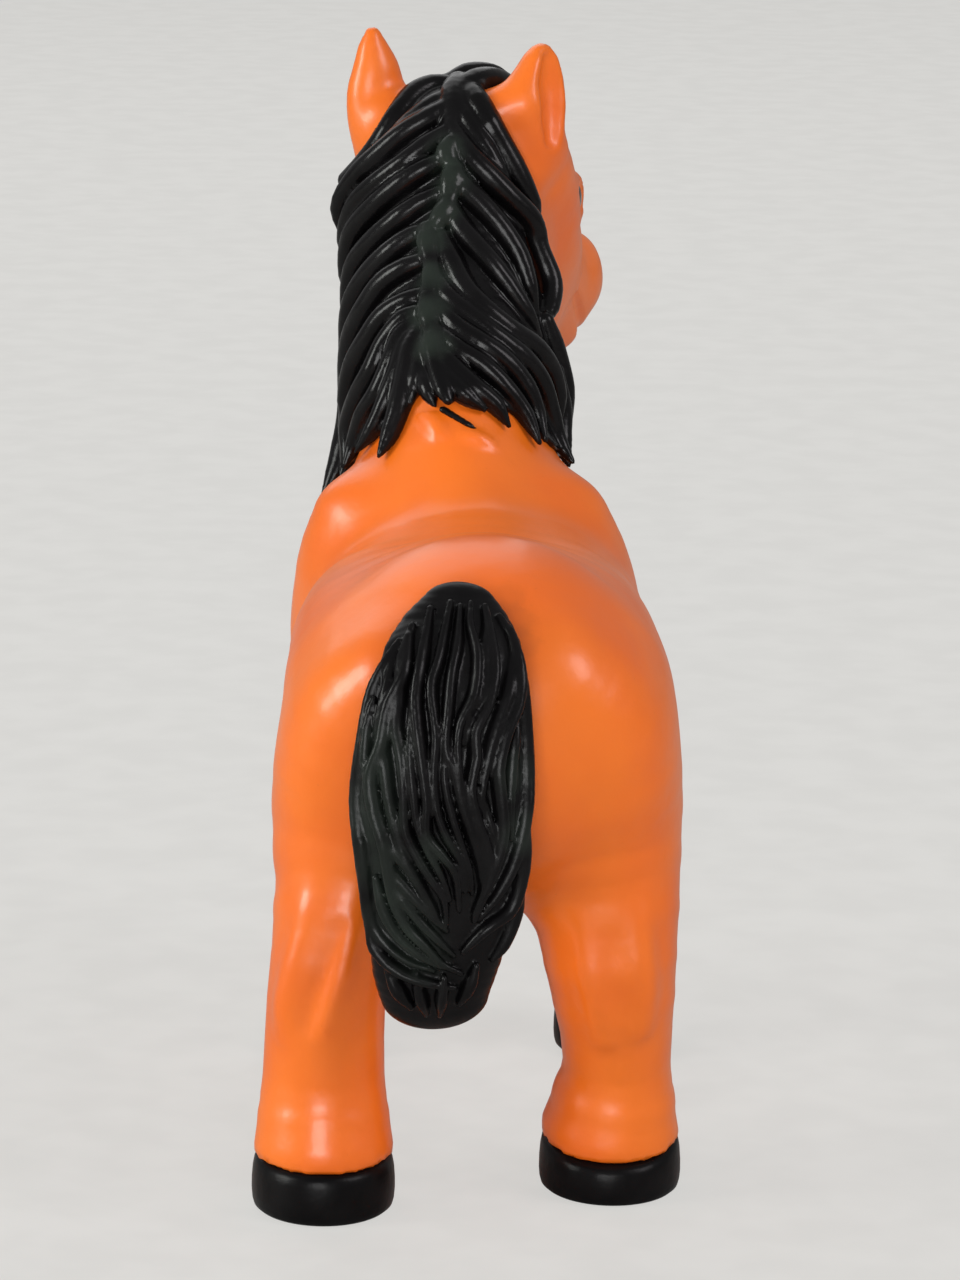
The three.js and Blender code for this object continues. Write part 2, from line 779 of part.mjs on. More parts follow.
// A hoof: narrow at the hairline, flared to a rounded ground edge, with its spigot on top.
function hoofSolid(centre, width) {
  const foot = width / 2;
  const top = hoofHeight - glueLine / 2;
  const profile = [
    new THREE.Vector2(0, 0),
    new THREE.Vector2(foot - hoofEdge, 0),
    new THREE.Vector2(foot - hoofEdge / 4, hoofEdge / 3),
    new THREE.Vector2(foot, hoofEdge),
    new THREE.Vector2(foot - hoofTopInset, top),
    new THREE.Vector2(0, top),
  ];
  const horn = new THREE.LatheGeometry(profile, 28);
  horn.rotateX(Math.PI / 2);
  horn.scale(1, hoofLengthShare, 1);
  horn.translate(centre.x, centre.y, 0);
  const spigotTop = overHoof(centre, spigotLength);
  return solidOf(horn).add(dowel(overHoof(centre, -overrun), spigotTop, spigotRadius, 16));
}

// Materials, in the colours of the photographed paint.
const vinylOrange = new THREE.MeshStandardMaterial({ color: '#f0782d', roughness: 0.42, metalness: 0 });
const blackPaint = new THREE.MeshStandardMaterial({ color: '#1c1a1b', roughness: 0.22, metalness: 0 });
const eyeBlack = new THREE.MeshStandardMaterial({ color: '#0c0b0b', roughness: 0.08, metalness: 0 });

const grownBody = bodySkin(glueLine);
const grownHead = headSkin(glueLine);
const clearOfSkin = (solid) => solid.subtract(grownBody).subtract(grownHead);

// The largest of the bodies that a cut leaves: the others are slivers.
function mainBody(solid) {
  return solid.decompose().reduce((best, next) => (next.volume() > best.volume() ? next : best));
}

const mane = mainBody(clearOfSkin(maneSolid()));
const solids = {
  body_shell: [bodyShell(), vinylOrange],
  head_neck_shell: [headNeckShell(), vinylOrange],
  mane: [mane, blackPaint],
  forelock: [mainBody(clearOfSkin(forelockSolid()).subtract(mane)), blackPaint],
  tail: [
    mainBody(clearOfSkin(tailSolid())).add(dowel(tailPegEnd, tailPegRoot, tailPegRadius, 16)),
    blackPaint,
  ],
  eye_left: [eyeLens(1, 0), eyeBlack],
  eye_right: [eyeLens(-1, 0), eyeBlack],
};
for (const [place, { foot }] of Object.entries(legs)) {
  const width = place.endsWith('hind') ? hindHoofWidth : foreHoofWidth;
  solids[`hoof_${place}`] = [hoofSolid(foot, width), blackPaint];
}

const horse = new THREE.Group();
for (const [name, [solid, material]] of Object.entries(solids)) {
  const mesh = new THREE.Mesh(geometryOf(solid), material);
  mesh.name = name;
  horse.add(mesh);
}

// The origin is under the middle of the whole figure, on the ground.
const extent = new THREE.Box3().setFromObject(horse);
const middle = extent.getCenter(new THREE.Vector3());
horse.position.set(-middle.x, -middle.y, -extent.min.z);

export default horse;
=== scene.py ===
import math

import bmesh
import bpy
import numpy as np
from mathutils import Matrix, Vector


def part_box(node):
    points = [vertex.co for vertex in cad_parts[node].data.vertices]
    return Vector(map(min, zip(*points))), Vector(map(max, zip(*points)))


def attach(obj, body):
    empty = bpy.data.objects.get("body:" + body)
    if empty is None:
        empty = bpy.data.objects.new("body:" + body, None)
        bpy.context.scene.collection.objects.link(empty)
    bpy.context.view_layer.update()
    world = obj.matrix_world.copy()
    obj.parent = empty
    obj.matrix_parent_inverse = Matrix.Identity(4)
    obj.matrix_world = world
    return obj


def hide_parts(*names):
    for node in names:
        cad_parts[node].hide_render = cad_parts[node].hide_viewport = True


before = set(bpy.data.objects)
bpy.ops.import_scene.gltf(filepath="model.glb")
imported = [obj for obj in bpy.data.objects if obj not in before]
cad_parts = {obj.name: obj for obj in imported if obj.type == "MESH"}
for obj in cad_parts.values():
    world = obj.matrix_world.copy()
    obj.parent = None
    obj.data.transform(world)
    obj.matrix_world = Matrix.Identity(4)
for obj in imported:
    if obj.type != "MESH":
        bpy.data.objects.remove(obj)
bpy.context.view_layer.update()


# CAMERA. It stands a metre behind the horse, a little to its left and above its ears, with a long
# lens, and it leans by just under a degree.
lens_length = 144.8
place = np.array([0.0296, 1.0, 0.3287])
swing, dip, roll = (math.radians(angle) for angle in (1.78, 13.4, 0.865))
ahead = -np.array([math.sin(swing) * math.cos(dip), math.cos(swing) * math.cos(dip), math.sin(dip)])
level = np.cross(ahead, (0, 0, 1))
level /= np.linalg.norm(level)
upright = np.cross(level, ahead)
rightwards = level * math.cos(roll) + upright * math.sin(roll)
upwards = upright * math.cos(roll) - level * math.sin(roll)

camera = bpy.data.objects.new("camera", bpy.data.cameras.new("camera"))
camera.data.lens = lens_length
camera.data.sensor_width = 36
camera.data.clip_start, camera.data.clip_end = 0.05, 50
turn = Matrix(np.column_stack([rightwards, upwards, -ahead]).tolist()).to_4x4()
camera.matrix_world = Matrix.Translation(place.tolist()) @ turn
bpy.context.scene.collection.objects.link(camera)
bpy.context.scene.camera = camera


# FLOOR. A plain pale studio floor of matt card, six metres each way, so that only a low view sees
# its far edge. To the camera alone it glows a little, so it shows pale and still takes the shadow.
class Wire:
    """A shader socket. Arithmetic on it adds Math nodes to its finish."""

    def __init__(self, finish, socket):
        self.finish, self.socket = finish, socket

    def _math(self, operation, one, other):
        return self.finish.node("ShaderNodeMath", {"operation": operation}, {0: one, 1: other})

    def __add__(self, other):
        return self._math("ADD", self, other)

    def __rsub__(self, other):
        return self._math("SUBTRACT", other, self)

    def __mul__(self, other):
        return self._math("MULTIPLY", self, other)

    __radd__, __rmul__ = __add__, __mul__


class Finish:
    """A material in the making. node() adds a node, sets it up, and joins or sets its sockets."""

    def __init__(self, name):
        self.material = bpy.data.materials.new(name)
        self.material.use_nodes = True
        self.material.node_tree.nodes.clear()
        self.place = self.node("ShaderNodeTexCoord", out="Object")

    def node(self, kind, settings=None, sockets=None, out=0):
        tree = self.material.node_tree
        made = tree.nodes.new(kind)
        for name, value in (settings or {}).items():
            setattr(made, name, value)
        for name, value in (sockets or {}).items():
            if isinstance(value, Wire):
                tree.links.new(value.socket, made.inputs[name])
            else:
                made.inputs[name].default_value = value
        return Wire(self, made.outputs[out])

    def noise(self, scale, detail=2.0):
        """Blender's noise at a number of waves to the metre, about 0 to 1."""
        sockets = {"Vector": self.place, "Scale": scale, "Detail": detail, "Roughness": 0.5}
        return self.node("ShaderNodeTexNoise", {"noise_dimensions": "3D"}, sockets)

    def within(self, value, low, high):
        """0 below low, 1 above high, and smooth between."""
        sockets = {"Value": value, "From Min": low, "From Max": high, "To Min": 0.0, "To Max": 1.0}
        return self.node("ShaderNodeMapRange", {"interpolation_type": "SMOOTHSTEP"}, sockets)

    def mix(self, share, one, other):
        """The first colour where share is 0 and the second where it is 1."""
        return self.node("ShaderNodeMix", {"data_type": "RGBA"}, {0: share, 6: one, 7: other}, out=2)

    def near(self, spot, ragged):
        """1 within three tenths of a spot's reach and 0 past the whole of it, with a ragged edge. The
        spot gives its place and its reach in millimetres."""
        *middle, reach = spot
        ends = {0: self.place, 1: tuple(value / 1000 for value in middle)}
        away = self.node("ShaderNodeVectorMath", {"operation": "DISTANCE"}, ends, out="Value")
        return 1 - self.within(away * ragged, reach * 0.0003, reach * 0.001)

    def bump(self, height, distance):
        """A normal tilted by the slope of a height, which is distance metres at 1."""
        return self.node("ShaderNodeBump", None, {"Height": height, "Distance": distance, "Strength": 1.0})

    def close(self, **sockets):
        """Ends in a Principled shader. Names are its sockets', with _ for a space."""
        sockets = {name.replace("_", " "): value for name, value in sockets.items()}
        self.end_in(self.node("ShaderNodeBsdfPrincipled", None, sockets))
        return self.material

    def end_in(self, shader):
        """Joins a shader to the material's output."""
        output = self.material.node_tree.nodes.new("ShaderNodeOutputMaterial")
        self.material.node_tree.links.new(shader.socket, output.inputs["Surface"])


def paint(code):
    """A linear colour from a written one: each of its three shares to the power 2.4, less its toe."""
    shares = [int(code[start:start + 2], 16) / 255 for start in (1, 3, 5)]
    linear = [share / 12.92 if share <= 0.04045 else ((share + 0.055) / 1.055) ** 2.4 for share in shares]
    return (*linear, 1.0)


def piece(name, points, faces, material, smooth=True):
    """A mesh object at the origin, from rows of points and a list of each face's corner numbers."""
    mesh = bpy.data.meshes.new(name)
    mesh.from_pydata(np.asarray(points).tolist(), [], faces)
    mesh.polygons.foreach_set("use_smooth", np.full(len(mesh.polygons), smooth))
    mesh.materials.append(material)
    mesh.update()
    made = bpy.data.objects.new(name, mesh)
    bpy.context.scene.collection.objects.link(made)
    return made


floor_reach = 6.0
card = Finish("pale_card")
card_tone = card.within(card.noise(60.0), 0.3, 0.7)
card_grey = card.mix(card_tone, paint("#b4b3b0"), paint("#bab9b6"))
card_pale = card.mix(card_tone, paint("#dfdedb"), paint("#e2e1de"))
card_skin = card.node("ShaderNodeBsdfPrincipled", None, {"Base Color": card_grey, "Roughness": 0.8})
card_glow = card.node("ShaderNodeEmission", None, {"Color": card_pale, "Strength": 1.05})
glow_share = card.node("ShaderNodeLightPath", out="Is Camera Ray") * 0.75
card.end_in(card.node("ShaderNodeMixShader", None, {0: glow_share, 1: card_skin, 2: card_glow}))
floor_corners = np.array([(-1, -1, 0), (1, -1, 0), (1, 1, 0), (-1, 1, 0)]) * floor_reach
floor = piece("floor", floor_corners, [(0, 1, 2, 3)], card.material, smooth=False)


# LIGHTS. A tall soft window at each side, a low one behind the camera, a soft fill ahead of the
# horse, and a pale room all round.
light_aim = np.array([0, 0, 0.1])


def soft_light(name, place, size, power, colour):
    """An oblong lamp with its back away from the horse. Its side is level, and its top is upwards."""
    lamp = bpy.data.lights.new(name, "AREA")
    lamp.shape, lamp.size, lamp.size_y = "RECTANGLE", *size
    lamp.energy, lamp.color = power, colour
    made = bpy.data.objects.new(name, lamp)
    back = np.asarray(place, float) - light_aim
    back /= np.linalg.norm(back)
    side = np.cross((0, 0, 1), back)
    side /= np.linalg.norm(side)
    turn = Matrix(np.column_stack([side, np.cross(back, side), back]).tolist()).to_4x4()
    made.matrix_world = Matrix.Translation(place) @ turn
    bpy.context.scene.collection.objects.link(made)


soft_light("window_left", (1.45, 0.45, 0.6), (0.5, 0.7), 14, (0.98, 1.0, 0.96))
soft_light("window_right", (-1.1, 0.7, 0.95), (0.5, 0.75), 8, (1.0, 0.95, 0.98))
soft_light("window_behind", (0.25, 1.8, 0.35), (0.7, 0.5), 12, (1.0, 1.0, 1.0))
soft_light("fill_ahead", (0.3, -1.2, 1.2), (1.5, 1.5), 8, (1.0, 1.0, 1.0))
world = bpy.data.worlds.new("room")
world.use_nodes = True
room = world.node_tree.nodes["Background"]
room_path = world.node_tree.nodes.new("ShaderNodeLightPath")
room_tone = world.node_tree.nodes.new("ShaderNodeMapRange")
# The room's strength as light, and as the camera sees it.
room_tone.inputs["To Min"].default_value, room_tone.inputs["To Max"].default_value = 0.31, 0.69
world.node_tree.links.new(room_path.outputs["Is Camera Ray"], room_tone.inputs["Value"])
world.node_tree.links.new(room_tone.outputs["Result"], room.inputs["Strength"])
room.inputs["Color"].default_value = (1, 1, 1, 1)
bpy.context.scene.world = world


# BODY. A hollow soft vinyl moulding with the four legs, cast in one, and open at the neck, where
# the head is plugged in. Its muscles run smoothly into each other.
hip_width, body_length, croup_height = 0.078, 0.150, 0.127
muscle_blend, rods_per_gap = 0.009, 3
# Each row is a middle across, along and up, a half width and a half depth, as shares of half the
# hips' width, half the body's length, the croup's height, half the hips' width and the height.
trunk_rows = [
    (-0.05, 0.53, 0.725, 0.85, 0.275),
    (-0.05, 0.12, 0.725, 0.92, 0.222),
    (-0.08, -0.30, 0.725, 0.86, 0.222),
    (-0.04, -0.58, 0.735, 0.815, 0.255),
]
hind_leg_rows = [
    (0.44, 0.52, 0.71, 0.43, 0.19),
    (0.55, 0.55, 0.59, 0.415, 0.15),
    (0.70, 0.67, 0.38, 0.285, 0.105),
    (0.715, 0.65, 0.20, 0.293, 0.092),
    (0.70, 0.67, 0.095, 0.335, 0.105),
]
# The right hind leg is wider at its hock and narrower at its ankle.
hock_row = (0.645, 0.67, 0.38, 0.325, 0.105)
ankle_row = (0.71, 0.65, 0.20, 0.262, 0.088)
fore_leg_rows = [
    (0.42, -0.58, 0.68, 0.38, 0.16),
    (0.61, -0.62, 0.45, 0.31, 0.11),
    (0.75, -0.62, 0.24, 0.25, 0.09),
    (0.76, -0.64, 0.105, 0.27, 0.095),
]
hip_sway, shoulder_sway, right_hind_step = (-0.06, -0.01), (0, -0.075), 0.16
blade_sway = 0.03
# The smaller muscles of one side: the blend in millimetres, then the same five shares.
small_muscles = {
    "hip": (11, [(0.50, 0.10, 0.820, 0.22, 0.066), (0.54, 0.32, 0.815, 0.25, 0.072),
                 (0.54, 0.52, 0.775, 0.28, 0.086)]),
    "haunch": (9, [(0.40, 0.79, 0.815, 0.22, 0.068), (0.56, 0.75, 0.768, 0.24, 0.078),
                   (0.68, 0.69, 0.68, 0.22, 0.08), (0.65, 0.61, 0.60, 0.21, 0.085)]),
    "blade": (12, [(0.49, -0.46, 0.90, 0.235, 0.06), (0.52, -0.50, 0.815, 0.26, 0.08),
                   (0.49, -0.54, 0.69, 0.25, 0.10)]),
}
# Tendons over the backs of the hocks, and a crease: half widths, then points, all in millimetres.
tendon_blend, crease_blend = 0.0035, 0.003
hock_tendons = [
    ((0.8, 1.4, 2.0, 2.0, 1.0),
     [(-19.4, 79.6, 67), (-19.6, 82.9, 58), (-20.2, 84.9, 48.5), (-21.6, 84.2, 41), (-23.2, 82.4, 34)]),
    ((0.8, 1.5, 2.2, 2.1, 1.2),
     [(-27.8, 80.0, 68), (-28.4, 83.6, 59), (-29.2, 85.2, 50.5), (-30.0, 84.0, 43), (-29.6, 82.2, 36)]),
    ((0.7, 1.2, 1.7, 1.7, 0.8),
     [(23.2, 86.4, 70), (24.4, 89.6, 61), (26.0, 91.4, 53), (28.4, 91.3, 45), (29.6, 90.0, 38)]),
    ((0.7, 1.1, 1.6, 1.7, 0.8),
     [(30.6, 86.0, 65), (32.4, 88.6, 57), (34.6, 89.0, 49), (36.0, 88.0, 42), (35.6, 86.6, 36)]),
]
hock_crease = (
    (0.5, 1.0, 1.2, 1.0, 0.5),
    [(26.4, 93.6, 58), (27.4, 93.9, 54.5), (29.4, 93.7, 48.5), (31.4, 92.9, 41.9), (32.4, 92.0, 38.0)])


def body_shares(across, along, up):
    """A way in metres, from shares of half the hips' width, half the length and the height."""
    return np.array([across * hip_width / 2, along * body_length / 2, up * croup_height])


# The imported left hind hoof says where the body's middle is.
hoof_low, hoof_high = (np.array(corner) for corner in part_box("hoof_left_hind"))
left_hind_foot = body_shares(hind_leg_rows[-1][0] + hip_sway[1], hind_leg_rows[-1][1], 0)
body_origin = (hoof_low + hoof_high) / 2 * (1, 1, 0) - left_hind_foot


def body_point(across, along, up):
    """A point of the body: its middle on the ground, and a way in shares from there."""
    return body_origin + body_shares(across, along, up)


def curve_through(rows, shares):
    """A centripetal spline: a cubic through each pair of rows, whose slopes there come from the
    rows on both sides, weighed by the square roots of the gaps."""
    rows = np.asarray(rows, float)
    ends = np.vstack([2 * rows[0] - rows[1], rows, 2 * rows[-1] - rows[-2]])
    reach = np.asarray(shares, float) * (len(rows) - 1)
    first = np.minimum(reach.astype(int), len(rows) - 2)
    share = (reach - first)[:, None]
    before, start, stop, after = (ends[first + k] for k in range(4))
    pairs = ((before, start), (start, stop), (stop, after))
    gaps = [np.sqrt(np.linalg.norm(b - a, axis=1))[:, None] for a, b in pairs]
    middle = np.maximum(gaps[1], 1e-5)
    lead, trail = (np.where(gap < 1e-5, middle, gap) for gap in (gaps[0], gaps[2]))
    leave = (start - before) / lead - (stop - before) / (lead + middle) + (stop - start) / middle
    arrive = (stop - start) / middle - (after - start) / (middle + trail) + (after - stop) / trail
    leave, arrive = leave * middle, arrive * middle
    cubic = 2 * start - 2 * stop + leave + arrive
    square = 3 * stop - 3 * start - 2 * leave - arrive
    return ((cubic * share + square) * share + leave) * share + start


def chain(points, wide, deep, blend, side=(1, 0, 0), rods=rods_per_gap):
    """A row of tapering oval rods along a smooth curve. wide is half the width along side."""
    points = np.asarray(points, float)
    shares = np.linspace(0, 1, (len(points) - 1) * rods + 1)
    path = curve_through(points, shares)
    ovals = curve_through(np.column_stack([wide, deep]), shares)
    axis = np.diff(path, axis=0)
    length = np.linalg.norm(axis, axis=1, keepdims=True)
    axis = axis / length
    side = np.asarray(side, float)
    if side.ndim == 2:
        side = curve_through(side, (shares[:-1] + shares[1:]) / 2)
    side = np.broadcast_to(side, axis.shape)
    across = side - axis * (side * axis).sum(1, keepdims=True)
    across /= np.linalg.norm(across, axis=1, keepdims=True)
    reach = ovals.max(1, keepdims=True)
    down = np.cross(axis, across)
    rods = list(zip(path[:-1], axis, length[:, 0], across, down, ovals[:-1], ovals[1:]))
    return {"rods": rods, "blend": blend, "low": (path - reach).min(0), "high": (path + reach).max(0)}


def marked_chain(wide, points, blend, deep=None, breadth=1.0):
    """A chain marked out in millimetres. It is round, unless its half depths are given or its half
    widths are made broader."""
    wide = np.array(wide)
    deep = wide if deep is None else np.array(deep)
    return chain(np.array(points) / 1000, wide * breadth / 1000, deep / 1000, blend)


def chain_distance(made, points):
    """About how far points lie outside a chain, less than zero inside: each rod's oval ratio, less
    one, times the ratio, over the ratio's slope. The nearest rod counts."""
    best = np.full(len(points), np.inf)
    for start, axis, length, across, down, oval, next_oval in made["rods"]:
        away = points - start
        run = away @ axis
        share = np.clip(run / length, 0, 1)
        wide = oval[0] + (next_oval[0] - oval[0]) * share
        deep = oval[1] + (next_oval[1] - oval[1]) * share
        cap = (wide + deep) / 2
        past = run - share * length
        parts = (away @ across / wide) ** 2, (away @ down / deep) ** 2, (past / cap) ** 2
        ratio = np.sqrt(sum(parts))
        slope = np.sqrt(parts[0] / wide**2 + parts[1] / deep**2 + parts[2] / cap**2)
        best = np.minimum(best, ratio * (ratio - 1) / np.maximum(slope, 1e-9))
    return best


def blended(one, other, blend):
    """The smaller of two distances, rounded where they are within the blend of each other."""
    near = np.maximum(blend - np.abs(one - other), 0) / blend
    return np.minimum(one, other) - near * near * blend / 4


def form_distance(chains, points, start=0.5):
    """How far points lie outside a form made of chains, blended one after the other. It starts from
    a far distance, or from another form's, and skips a chain whose box is further off."""
    distance = np.full(len(points), start) if np.isscalar(start) else start
    for made in chains:
        off = np.maximum(made["low"] - points, points - made["high"]).max(1)
        near = np.flatnonzero(off <= distance + made["blend"])
        if len(near):
            found = chain_distance(made, points[near])
            distance[near] = blended(distance[near], found, made["blend"])
    return distance


def carved(distance, chains, points):
    """A form with chains cut away, rounded by each chain's blend."""
    for made in chains:
        off = np.maximum(made["low"] - points, points - made["high"]).max(1)
        near = np.flatnonzero(off <= made["blend"] * 2)
        if len(near):
            found = chain_distance(made, points[near])
            distance[near] = -blended(-distance[near], found, made["blend"])
    return distance


corner_steps = np.array([(i, j, k) for i in (0, 1) for j in (0, 1) for k in (0, 1)])
cell_edges = [(a, b) for a in range(8) for b in range(a + 1, 8)
              if np.abs(corner_steps[a] - corner_steps[b]).sum() == 1]


def form_box(chains, room):
    """The low and high corner of the box round chains, with room on every side."""
    low, high = ([made[corner] for made in chains] for corner in ("low", "high"))
    return np.min(low, 0) - room, np.max(high, 0) + room


def skin(distance, low, high, cell, block=5):
    """The skin where a distance is zero. Each grid cell that it passes through holds one point, the
    mean of where its edges cross, moved on to the skin along the slope. Each crossed grid edge has
    a four sided face round it. Blocks of the grid that are far from the skin aren't worked out."""
    low = np.asarray(low, float)
    blocks = np.ceil((np.asarray(high, float) - low) / (cell * block)).astype(int) + 1
    count = blocks * block
    numbers = [np.arange(along) for along in blocks]
    middles = np.stack(np.meshgrid(*numbers, indexing="ij"), -1).reshape(-1, 3)
    far = distance(low + (middles * block + (block - 1) / 2) * cell)
    values = np.where(far < 0, -1.0, 1.0).reshape(blocks)
    for axis in range(3):
        values = np.repeat(values, block, axis)
    block_reach = cell * block * 1.6
    active = middles[np.abs(far) < block_reach]
    steps = np.stack(np.meshgrid(*[np.arange(block)] * 3, indexing="ij"), -1).reshape(-1, 3)
    nodes = (active[:, None] * block + steps[None]).reshape(-1, 3)
    values[tuple(nodes.T)] = distance(low + nodes * cell)
    for axis in range(3):
        for side in (0, -1):
            border = [slice(None)] * 3
            border[axis] = side
            values[tuple(border)] = np.maximum(values[tuple(border)], cell)
    inside = values < 0
    last = count - 1
    corners = [inside[i:last[0] + i, j:last[1] + j, k:last[2] + k] for i, j, k in corner_steps]
    some, every = np.logical_or.reduce(corners), np.logical_and.reduce(corners)
    cells = np.argwhere(some & ~every)
    at_corner = np.stack([values[tuple((cells + step).T)] for step in corner_steps], 1)
    total, crossings = np.zeros((len(cells), 3)), np.zeros(len(cells))
    for a, b in cell_edges:
        one, other = at_corner[:, a], at_corner[:, b]
        crossed = (one < 0) != (other < 0)
        share = np.where(crossed, one / np.where(crossed, one - other, 1), 0)[:, None]
        total += crossed[:, None] * (corner_steps[a] + (corner_steps[b] - corner_steps[a]) * share)
        crossings += crossed
    points = low + (cells + total / crossings[:, None]) * cell
    start = points.copy()
    step, least_slope, furthest = cell / 50, 0.05, cell * 0.6
    for _ in range(2):
        here = distance(points)
        slope = np.stack([(distance(points + step * unit) - here) / step for unit in np.eye(3)], 1)
        points -= slope * (here / np.maximum((slope**2).sum(1), least_slope))[:, None]
        moved = points - start
        size = np.linalg.norm(moved, axis=1, keepdims=True)
        points = start + moved * np.minimum(1, furthest / np.maximum(size, 1e-9))
    number = np.full(count, -1)
    number[tuple(cells.T)] = np.arange(len(cells))
    faces = []
    for axis in range(3):
        one, other = np.eye(3, dtype=int)[(axis + 1) % 3], np.eye(3, dtype=int)[(axis + 2) % 3]
        edges = np.argwhere(inside != np.roll(inside, -1, axis))
        edges = edges[edges[:, axis] < last[axis]]
        ring = [number[tuple((edges - step).T)] for step in (one + other, other, 0 * one, one)]
        ring = np.stack(ring, 1)
        flip = ~inside[tuple(edges.T)]
        ring[flip] = ring[flip][:, ::-1]
        faces.append(ring)
    return points, np.concatenate(faces).tolist()


def cut_flat(made, point, normal):
    """Cuts a closed mesh by a plane, takes away what is on the normal's side, and closes the cut."""
    work = bmesh.new()
    work.from_mesh(made.data)
    geometry = work.verts[:] + work.edges[:] + work.faces[:]
    cut = bmesh.ops.bisect_plane(
        work, geom=geometry, plane_co=tuple(point), plane_no=tuple(normal), clear_outer=True,
        dist=1e-6)
    rim = [edge for edge in cut["geom_cut"] if isinstance(edge, bmesh.types.BMEdge)]
    caps = bmesh.ops.edgenet_fill(work, edges=rim)["faces"]
    for flat in (*caps, *rim):
        flat.smooth = False
    bmesh.ops.recalc_face_normals(work, faces=work.faces[:])
    work.to_mesh(made.data)
    work.free()


def body_chain(rows, side=1, sway=(0, 0), step=0.0, blend=muscle_blend):
    """A chain from rows of shares, on a side. Down the rows it sways to the left and steps forward."""
    points = [
        body_point(side * across + sway[0] + (sway[1] - sway[0]) * down, along - step * down, up)
        for (across, along, up, _, _), down in zip(rows, np.linspace(0, 1, len(rows)))
    ]
    wide = [row[3] * hip_width / 2 for row in rows]
    return chain(points, wide, [row[4] * croup_height for row in rows], blend)


trunk = [body_chain(trunk_rows)]
for muscle, (blend, rows) in small_muscles.items():
    sway = blade_sway if muscle == "blade" else 0
    trunk += [body_chain(rows, side, (sway, sway), blend=blend / 1000) for side in (1, -1)]
hocks = [marked_chain(*tendon, tendon_blend) for tendon in hock_tendons]
crease = marked_chain(*hock_crease, crease_blend)
right_hind_rows = [*hind_leg_rows[:2], hock_row, ankle_row, hind_leg_rows[4]]
legs = {
    "left_hind": body_chain(hind_leg_rows, 1, hip_sway),
    "right_hind": body_chain(right_hind_rows, -1, hip_sway, right_hind_step),
    "left_front": body_chain(fore_leg_rows, 1, shoulder_sway),
    "right_front": body_chain(fore_leg_rows, -1, shoulder_sway),
}

neck_width, neck_depth, neck_rise, neck_reach = 0.041, 0.052, 0.066, 0.044
# Each row is the share up the neck, and its width and depth there as shares of its own.
neck_rows = [(0, 0.97, 1.16), (0.35, 0.94, 1), (0.75, 0.88, 0.80), (1, 0.86, 0.76)]
neck_root = body_point(0.035, -0.60, 0.84)
poll = neck_root + (0, -neck_reach, neck_rise)
crest_length = np.linalg.norm(poll - neck_root)
neck_axis = (poll - neck_root) / crest_length
neck_back = np.cross(neck_axis, (1, 0, 0))
neck = chain(
    [neck_root + (poll - neck_root) * along for along, _, _ in neck_rows],
    [wide * neck_width / 2 for _, wide, _ in neck_rows],
    [deep * neck_depth / 2 for _, _, deep in neck_rows], muscle_blend,
)
# The head's moulding meets the body's at this share up the neck.
seam_share, glue_line = 0.22, 0.00001
seam_middle = neck_root + (poll - neck_root) * seam_share


def vinyl(name, mist=()):
    """Soft cast vinyl, painted satin: its tone wanders a little, and its skin is faintly uneven.
    A mist of stray black lies round the spots of mist."""
    finish = Finish(name)
    tone = finish.within(finish.noise(28.0, 3.0), 0.35, 0.65)
    colour = finish.mix(tone, paint("#f06c13"), paint("#f77718"))
    speck = finish.within(finish.noise(700.0, 2.0), 0.72, 0.80)
    colour = finish.mix(speck * 0.12, colour, paint("#b04f1c"))
    dust = 0.75 + finish.noise(900.0, 3.0) * 0.5
    for spot in mist:
        colour = finish.mix(finish.near(spot, dust) * 0.14, colour, paint("#4a2410"))
    gloss = 0.33 + finish.noise(60.0, 3.0) * 0.12
    height = finish.noise(420.0, 3.0) * 0.35 + finish.noise(95.0, 2.0)
    return finish.close(
        Base_Color=colour, Roughness=gloss, Normal=finish.bump(height, 0.00022), Coat_Weight=0.22,
        Coat_Roughness=0.18, IOR=1.5)


# A small lip and a ridge of glue on the withers, under the middle of the mane.
withers_lip = [
    marked_chain([1.5, 1.9, 1.3], [(9.8, -3.4, 135.2), (8.2, -1.4, 134.0), (7.1, 0.9, 132.4)], 0.0018,
                 [1.3, 1.6, 1.1]),
    marked_chain([0.8, 1.1, 0.6], [(1.6, 1.5, 132.3), (-0.8, 1.5, 131.5), (-3.2, 1.3, 130.3)], 0.0016,
                 [0.8, 1.0, 0.6]),
]
body_form = [*trunk, *legs.values(), *hocks, neck, *withers_lip]
hoof_height, hairline = 0.0105, 0.00006
hoof_middles = np.array([np.mean(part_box(f"hoof_{place}"), 0) for place in legs])[:, :2]
hoof_tilts = np.array([0.03, 0.20, 0.06, 0.06])


def over_hairline(points):
    """How far points lie under the end of their leg: the top of the nearest hoof, which leans back."""
    nearest = np.argmin([((points[:, :2] - middle) ** 2).sum(1) for middle in hoof_middles], 0)
    behind = points[:, 1] - hoof_middles[nearest, 1]
    return hoof_height + hairline - hoof_tilts[nearest] * behind - points[:, 2]


def body_distance(points):
    """How far points lie outside the body: its form, less the crease, and above the hairlines."""
    distance = carved(form_distance(body_form, points), [crease], points)
    return np.maximum(distance, over_hairline(points))


# Stray black beside the top of the tail: places and reaches in millimetres.
tail_mist = [(-3.6, 89.5, 119.5, 5), (-5.2, 93, 116, 5), (-6.2, 96, 112.8, 4.5)]
body_cell, body_room, above_seam = 0.0012, 0.004, 0.03
body_low, body_high = form_box([*trunk, *legs.values()], body_room)
body_high[2] = seam_middle[2] + above_seam
body_skin = skin(body_distance, body_low, body_high, body_cell)
body = piece("body", *body_skin, vinyl("body_vinyl", tail_mist))
cut_flat(body, seam_middle - neck_axis * glue_line / 2, neck_axis)
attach(body, "root")
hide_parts("body_shell")


